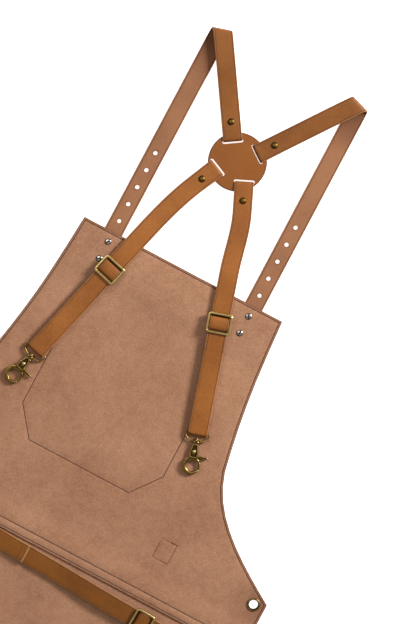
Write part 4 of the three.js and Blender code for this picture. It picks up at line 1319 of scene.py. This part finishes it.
# wear of a flat face, and how much it gains on a ridge and loses in a hollow for each metre of bend
FLAT_WEAR = 0.24
WEAR_PER_BEND = 0.58 / (0.030 * MM)


def cast(context, node_name, name, softness, press=None, balls=()):
    """A cast piece from its CAD solid: fine mesh, softened edges, hollows pressed in, ridges rubbed.
    Each ball is a centre and a radius that is cast onto it."""
    made = copy_of(node_name, name)
    bm = bmesh.new()
    bm.from_mesh(made.data)
    for centre, radius in balls:
        bmesh.ops.create_icosphere(bm, subdivisions=3, radius=radius, matrix=Matrix.Translation(centre))
    bm.to_mesh(made.data)
    bm.free()
    modifier = made.modifiers.new("skin", "REMESH")
    modifier.mode = "VOXEL"
    modifier.voxel_size = context.scene.apron_metal.voxel
    mesh = keep_modified(made)
    points = np.empty(len(mesh.vertices) * 3, np.float64)
    mesh.vertices.foreach_get("co", points)
    points = points.reshape(-1, 3)
    for _ in range(softness):
        points += 0.6 * (neighbour_mean(mesh, points) - points)
    if press:
        points = press(points)
        for _ in range(2):
            points += 0.5 * (neighbour_mean(mesh, points) - points)
    mesh.vertices.foreach_set("co", points.ravel())
    mesh.update()
    normals = np.empty(len(mesh.vertices) * 3, np.float32)
    mesh.vertices.foreach_get("normal", normals)
    bend = -((neighbour_mean(mesh, points) - points) * normals.reshape(-1, 3)).sum(1)
    for _ in range(3):
        bend = 0.5 * bend + 0.5 * neighbour_mean(mesh, bend)
    wear_and_shade = np.clip(FLAT_WEAR + bend * WEAR_PER_BEND, 0.0, 1.0)
    layer = mesh.attributes.new("wear_and_shade", "FLOAT", "POINT")
    layer.data.foreach_set("value", wear_and_shade.astype(np.float32))
    return made


def hook_frame(name):
    """A hook's frame: its eye's bar at the origin, +X along the hook."""
    unit, turn_x = unit_frame(name)
    return unit @ Matrix.Translation(Vector((turn_x, 0, EYE_Z)) * MM)


def pressed_hollow(name):
    """Presses the long hollow into both faces of a hook's body, inside its raised rim."""
    into = hook_frame(name)
    back = np.array(into.inverted())
    forth = np.array(into)

    def press(points):
        local = (points @ back[:3, :3].T + back[:3, 3]) / MM
        s, y, z = local[:, 0], local[:, 1], local[:, 2]
        half = np.interp(s, [15, 18, 25, 33], [3.2, 4.0, 5.6, 5.5]) - 1.5
        ends = np.clip((s - 16.5) / 0.8, 0, 1) * np.clip((32.0 - s) / 0.8, 0, 1)
        sides = np.clip((half - np.abs(y)) / 0.7, 0, 1)
        away = np.clip((np.hypot(s - HOOK_PIN_S, y) - 2.3) / 0.5, 0, 1)
        near_face = np.clip((np.abs(z) - 1.8) / 0.4, 0, 1)
        depth = 0.75 * ends * sides * away * near_face
        z -= np.sign(z) * depth
        # the ring is cast thick and round: its faces fall away from its middle line
        from_ring = np.hypot(s - HOOK_RING_S, y)
        off_line = from_ring - HOOK_RING_R
        away_from_trigger = np.clip(-y / 4.0, 0, 1)
        swelled = 1 + 0.28 * off_line / from_ring * np.clip((s - 33) / 3.0, 0, 1) * away_from_trigger
        s = HOOK_RING_S + (s - HOOK_RING_S) * swelled
        y = y * swelled
        on_ring = np.clip((s - 36.5) / 2.0, 0, 1)
        fall = np.clip(np.abs(off_line) / 2.0, 0, 1.2) ** 2
        z *= 1 - 0.34 * on_ring * fall
        out = np.stack([s, y, z], 1) * MM
        return out @ forth[:3, :3].T + forth[:3, 3]

    return press


def spring_wire(context, name):
    """The trigger's coil spring, in the hook's cavity."""
    into = hook_frame(name)
    turns, wire, radius = 3, 0.14, 0.85
    steps = 16 * turns
    vertices = []
    for i in range(steps + 1):
        a = 2 * math.pi * turns * i / steps
        middle = Vector((HOOK_PIN_S + 5 + radius * math.cos(a), -3.2 + 0.85 * i / steps,
                         radius * math.sin(a)))
        out = Vector((math.cos(a), 0, math.sin(a)))
        for j in range(6):
            b = 2 * math.pi * j / 6
            vertices.append(into @ ((middle + out * wire * math.cos(b)
                                     + Vector((0, wire * math.sin(b), 0))) * MM))
    made = outward(make_object(f"hook_spring_{name}_wire", vertices, ring_faces(steps + 1, 6, False)))
    dress(context, made, f"hook_{name}", "spring_steel_wire", (f"hook_spring_{name}",))


class APRON_OT_hooks(Operator):
    """The trigger hooks: eye, body, trigger, pin and spring"""
    bl_idname = "apron.hooks"
    bl_label = "Hooks"

    def execute(self, context):
        for name in UNITS:
            hub = [(hook_frame(name) @ (Vector((12.4, y, 1.7)) * MM), 1.95 * MM) for y in (-2.2, 2.2)]
            eye = cast(context, f"hook_eye_{name}", f"hook_eye_{name}_cast", 2, balls=hub)
            dress(context, eye, f"hook_eye_{name}", "antique_brass_plate", (f"hook_eye_{name}",))
            body = cast(context, f"hook_body_{name}", f"hook_body_{name}_cast", 5, pressed_hollow(name))
            dress(context, body, f"hook_{name}", "antique_brass_plate", (f"hook_body_{name}",))
            trigger = cast(context, f"hook_trigger_{name}", f"hook_trigger_{name}_cast", 4)
            dress(context, trigger, f"trigger_{name}", "antique_brass_plate", (f"hook_trigger_{name}",))
            self.pin(context, name, f"hook_{name}")
            spring_wire(context, name)
        return {"FINISHED"}

    @staticmethod
    def pin(context, name, body):
        """The rivet that the trigger turns on, domed at both ends."""
        into = hook_frame(name) @ Matrix.Translation((HOOK_PIN_S * MM, 0, 0))
        head = [(0, 3.35, 1.0), (0.8, 3.28, 1.0), (1.4, 3.0, 0.9), (1.75, 2.55, 0.5), (1.8, 2.2, 0.1),
                (1.25, 2.1, 0.1), (1.25, 0.0, 0.2)]
        profile = head + [(r, -z, w) for r, z, w in reversed(head)]
        made = lathe(f"hook_pin_{name}_turned", profile, Vector((0, 0, 0)), 24)
        made.data.transform(into)
        dress(context, made, body, "antique_brass_plate", (f"hook_pin_{name}",))


# ---- disk and fasteners ----


class APRON_OT_back_disk(Operator):
    """The round back disk with its four slots"""
    bl_idname = "apron.back_disk"
    bl_label = "Back Disk"

    def execute(self, context):
        lo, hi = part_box("back_disk")
        made, _ = sheet_mesh("back_disk", "back_disk_leather", lambda x, y: lo.z / MM, (hi.z - lo.z) / MM,
                             4 * MM, lambda x, y: 0.0, DISK_RINGS, ("crease", "flesh"))
        dress(context, made, APRON, "waxed_disk_cowhide", ("back_disk",))
        return {"FINISHED"}


def footing(node_name):
    """The middle of a CAD node's foot, and the node's height in millimetres."""
    lo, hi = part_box(node_name)
    middle = (lo + hi) / 2
    middle.z = lo.z
    return middle, (hi.z - lo.z) / MM


class APRON_OT_rivets(Operator):
    """The four dome rivets beside the disk"""
    bl_idname = "apron.rivets"
    bl_label = "Rivets"

    def execute(self, context):
        for place_name in slots():
            centre, _ = footing(f"rivet_cap_{place_name}")
            cap = [(0, 2.0, 0.42), (1.0, 1.95, 0.4), (2.2, 1.7, 0.32), (3.3, 1.2, 0.22), (4.1, 0.6, 0.25),
                   (4.5, 0.25, 0.6), (4.5, 0.1, 0.3), (4.3, 0.0, 0.1), (0, 0.0, 0.1)]
            made = lathe(f"rivet_cap_{place_name}_pressed", cap, centre)
            dress(context, made, APRON, "antique_brass_plate", (f"rivet_cap_{place_name}",))
            centre, tall = footing(f"rivet_post_{place_name}")
            post = [(0, 0, 0.4), (3.3, 0.0, 0.6), (3.8, 0.2, 0.9), (4.0, 0.5, 0.7), (3.9, 0.85, 0.3),
                    (1.6, 0.9, 0.1), (1.6, tall, 0.1), (0, tall, 0.1)]
            made = lathe(f"rivet_post_{place_name}_turned", post, centre)
            dress(context, made, APRON, "antique_brass_plate", (f"rivet_post_{place_name}",))
        return {"FINISHED"}


# how far each screw's slot is turned from across, in degrees: no two stopped alike
SCREW_TURNS = {"bib_left_1": 62, "bib_left_2": 20, "bib_right_1": 130, "bib_right_2": 80,
               "belt_1": 35, "belt_2": 150}


class APRON_OT_screws(Operator):
    """The Chicago screws: slotted domes on the suede side and capped posts below"""
    bl_idname = "apron.screws"
    bl_label = "Screws"

    def execute(self, context):
        for name, turn in SCREW_TURNS.items():
            centre, long = footing(f"screw_{name}")
            centre.z += long * MM
            # the dome's third column: bright on top, falling to painted shade round its rim
            dome = [(0, 0.0, 0.9), (1.2, -0.06, 0.9), (2.4, -0.22, 0.85), (3.3, -0.5, 0.6),
                    (3.95, -0.85, 0.3), (4.25, -1.08, 0.12), (4.2, -1.2, 0.1), (1.2, -1.2, 0.05),
                    (1.2, -long, 0.05), (0, -long, 0.05)]
            made = lathe(f"screw_{name}_turned", dome, centre, 48)
            self.slit(made, centre, turn)
            dress(context, made, APRON, "dull_nickel_plate", (f"screw_{name}",))
            base, tall = footing(f"screw_post_{name}")
            post = [(0, 0, 1.0), (3.6, 0.0, 1.0), (4.3, 0.18, 1.0), (4.7, 0.6, 0.9), (4.7, 1.2, 0.6),
                    (4.5, 1.4, 0.2), (2.3, 1.4, 0.1), (2.3, tall, 0.3), (1.5, tall, 0.1),
                    (1.5, 1.8, 0.0), (0, 1.8, 0.0)]
            made = lathe(f"screw_post_{name}_turned", post, base, 40)
            dress(context, made, APRON, "dull_nickel_plate", (f"screw_post_{name}",))
        return {"FINISHED"}

    @staticmethod
    def slit(made, centre, turn):
        """Saws a screw's slot across its dome, with painted shade inside."""
        bm = bmesh.new()
        wide, deep = 1.15 * MM, 0.7 * MM
        size = Matrix.Diagonal((12 * MM, wide, 2 * deep, 1))
        where = Matrix.Translation(centre) @ Matrix.Rotation(math.radians(turn), 4, "Z")
        bmesh.ops.create_cube(bm, size=1, matrix=where @ size)
        solid_cut(made, [from_bmesh("saw", bm)])
        wear_and_shade = made.data.attributes["wear_and_shade"]
        into = where.inverted()
        for v in made.data.vertices:
            local = into @ v.co
            # painted shade in the slot
            if abs(local.y) < wide / 2 + 0.025 * MM and local.z < 0.06 * MM - deep:
                wear_and_shade.data[v.index].value = 0.0


class APRON_OT_grommets(Operator):
    """The waist grommets: eyelets on the suede side and washers below"""
    bl_idname = "apron.grommets"
    bl_label = "Grommets"

    def execute(self, context):
        for side in SIDES:
            lo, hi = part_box(f"grommet_eyelet_{side}")
            base = Vector(((lo.x + hi.x) / 2, (lo.y + hi.y) / 2, 0))
            top = hi.z / MM
            low = lo.z / MM
            eyelet = [(5.8, low, 0.1), (5.85, low + 1.4, 0.0), (6.1, top - 1.3, 0.0), (6.6, top - 0.6, 0.0),
                      (7.1, top - 0.15, 0.05), (7.7, top, 0.6), (8.3, top - 0.1, 0.5), (8.65, top - 0.4, 0.3),
                      (8.85, top - 0.85, 0.2), (8.8, top - 1.1, 0.2), (7.5, top - 1.1, 0.0), (7.5, low, 0.1)]
            made = lathe(f"grommet_eyelet_{side}_pressed", eyelet, base, 56, loop=True)
            dress(context, made, APRON, "antique_brass_plate", (f"grommet_eyelet_{side}",))
            lo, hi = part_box(f"grommet_washer_{side}")
            low, top = lo.z / MM, hi.z / MM
            washer = [(7.8, top, 0.1), (7.8, low + 0.2, 0.5), (8.1, low, 0.7), (8.5, low + 0.05, 0.8),
                      (8.85, low + 0.35, 0.6), (8.85, top, 0.1)]
            made = lathe(f"grommet_washer_{side}_pressed", washer, base, 56, loop=True)
            dress(context, made, APRON, "antique_brass_plate", (f"grommet_washer_{side}",))
        return {"FINISHED"}


# ---- waist belt ----


class APRON_OT_belt(Operator):
    """The waist belt in its two spliced pieces"""
    bl_idname = "apron.belt"
    bl_label = "Waist Belt"

    def execute(self, context):
        unit, turn_x = unit_frame("belt")
        slide = unit.translation / MM
        slide.y -= BIB_TOP_Y / MM
        lean = math.radians(BELT_LEAN)
        run = Vector((math.cos(lean), -math.sin(lean), 0))

        def middle(x):
            """The belt's middle line at x."""
            return slide.y + (x - slide.x) / run.x * run.y

        def belt_stations(points):
            down = Vector((0, 0, -1))
            return [station(Vector((x, y, z + t)), Vector((0, 1, 0)), down, BELT_W, t)
                    for x, y, z, t in points]

        end_x, end_y = BELT_LEFT_END
        lap_x = SPLICE_X - SPLICE_LAP
        raised = BELT_Z + SPLICE_T + CLEAR
        left = belt_stations([
            (end_x, end_y, BELT_Z, STRAP_T), (end_x + 45, end_y, BELT_Z, STRAP_T),
            (-160, middle(-160), BELT_Z, STRAP_T), (lap_x - 12, middle(lap_x - 12), BELT_Z, STRAP_T),
            (lap_x, middle(lap_x), raised, STRAP_T), (SPLICE_X, middle(SPLICE_X), raised, STRAP_T)])
        points = [(lap_x + 4, BELT_Z, SPLICE_T), (SPLICE_X + 1, BELT_Z, SPLICE_T),
                  (SPLICE_X + 6, BELT_Z, STRAP_T), (40, BELT_Z, STRAP_T)]
        tongue = turn_x + WIRE_R - TRAVEL / 2 - 12
        for s in (-TRAVEL - SLIDE_HALF - 4, tongue):
            points.append((slide.x + run.x * s, ADJUSTER_Z - s * UNIT_FALL, STRAP_T))
        right = belt_stations([(x, middle(x), z, t) for x, z, t in points])
        for name, coarse in (("left", left), ("right", right)):
            stations = relax(refine(coarse, 4 * MM), 3)
            made = strap_mesh(f"belt_{name}_leather", stations, BELT_W)
            dress(context, made, APRON, "waxed_belt_cowhide", (f"belt_{name}",))
            strap_flat(stations, BELT_W)
            rows = strap_rows(stations, BELT_W)
            if name == "left":
                rows += self.splice_rows(stations)
            stitches(context, f"stitching_belt_{name}", APRON, rows, "waxed_strap_thread", sink=0.1)
        return {"FINISHED"}

    @staticmethod
    def splice_rows(stations):
        """Two stitch rows across the belt, just before the splice's raw edge."""
        rows = []
        for back in (3.2, 9.0):
            x = (SPLICE_X - back) * MM
            left, right, inward = min(stations, key=lambda s: abs(s[0].x - x))
            shift = Vector((x - left.x, 0, 0))
            ends = [left.lerp(right, t) + shift for t in (0.1, 0.9)]
            rows.append((ends, [-inward.normalized()] * 2))
        return rows


# ---- stage ----


def area_light(name, size, power, location, target):
    """A rectangular soft box that faces its target."""
    data = bpy.data.lights.new(name, "AREA")
    data.shape = "RECTANGLE"
    data.size, data.size_y = size
    data.energy = power
    lamp = bpy.data.objects.new(name, data)
    lamp.location = location
    lamp.rotation_euler = (Vector(target) - Vector(location)).to_track_quat("-Z", "Y").to_euler()
    bpy.context.scene.collection.objects.link(lamp)


# the point below the camera, and each soft box from there, as the camera sees it: all in metres and watts
CAMERA_OVER = (0.054, 0.2249, 0.0)
SOFT_BOXES = (("key", (0.9, 0.9), 155, (2.6, 1.2, 1.75)), ("fill", (1.6, 1.0), 11, (-0.6, 1.0, 2.0)))


class APRON_OT_stage(Operator):
    """Paper floor, soft studio light and the camera above"""
    bl_idname = "apron.stage"
    bl_label = "Stage"

    def execute(self, context):
        settings = context.scene.apron_stage
        span, drop = 3.0, -0.0005
        floor = make_object("floor", [(-span, -span, drop), (span, -span, drop), (span, span, drop),
                                      (-span, span, drop)], [(0, 1, 2, 3)])
        floor.data.materials.append(finish_of(context, "background_paper"))
        scene = context.scene
        scene.view_settings.view_transform = "Standard"
        world = bpy.data.worlds.new("studio")
        world.use_nodes = True
        # a tent that is bright above and dim at its foot, so that domes have dark rims
        tree = world.node_tree
        sky = node(tree, "SeparateXYZ", {0: node(tree, "TexCoord").outputs["Generated"]}).outputs["Z"]
        strength = node(tree, "MapRange", {"Value": sky, "From Min": 0.1, "To Min": 0.04, "To Max": 0.42})
        tree.links.new(strength.outputs[0], tree.nodes["Background"].inputs["Strength"])
        tree.nodes["Background"].inputs["Color"].default_value = linear("#FFFDF8")
        scene.world = world
        turned = Matrix.Rotation(settings.turn, 3, "Z")
        middle = Vector(CAMERA_OVER)
        for name, size, power, away in SOFT_BOXES:
            area_light(name, size, power, middle + turned @ Vector(away), middle)
        camera = bpy.data.objects.new("camera", bpy.data.cameras.new("camera"))
        camera.data.lens = settings.lens
        camera.location = middle + Vector((0, 0, settings.camera_height))
        camera.rotation_euler = Euler((0, 0, settings.turn))
        scene.collection.objects.link(camera)
        scene.camera = camera
        return {"FINISHED"}


# ---- add-on ----

PIECES = (APRON_OT_body_panels, APRON_OT_back_disk, APRON_OT_shoulder_straps, APRON_OT_lower_straps,
          APRON_OT_belt, APRON_OT_strap_ends, APRON_OT_slides, APRON_OT_hooks, APRON_OT_rivets,
          APRON_OT_screws, APRON_OT_grommets, APRON_OT_stage)


class APRON_PT_sidebar(Panel):
    """Lists the apron's pieces"""
    bl_idname = "APRON_PT_sidebar"
    bl_label = "Butcher Apron"
    bl_space_type = "VIEW_3D"
    bl_region_type = "UI"
    bl_category = "Apron"

    def draw(self, context):
        for piece in PIECES:
            self.layout.operator(piece.bl_idname)


SETTINGS = {"apron_leather": ApronLeatherSettings, "apron_metal": ApronMetalSettings,
            "apron_stage": ApronStageSettings}


def register():
    for settings in SETTINGS.values():
        bpy.utils.register_class(settings)
    for name, settings in SETTINGS.items():
        setattr(bpy.types.Scene, name, PointerProperty(type=settings))
    for made in (*PIECES, APRON_PT_sidebar):
        bpy.utils.register_class(made)


def unregister():
    for made in (APRON_PT_sidebar, *reversed(PIECES)):
        bpy.utils.unregister_class(made)
    for name, settings in SETTINGS.items():
        delattr(bpy.types.Scene, name)
        bpy.utils.unregister_class(settings)


def main():
    """Builds every piece in order."""
    register()
    for piece in PIECES:
        group, name = piece.bl_idname.split(".")
        getattr(getattr(bpy.ops, group), name)()


if __name__ == "__main__":
    main()
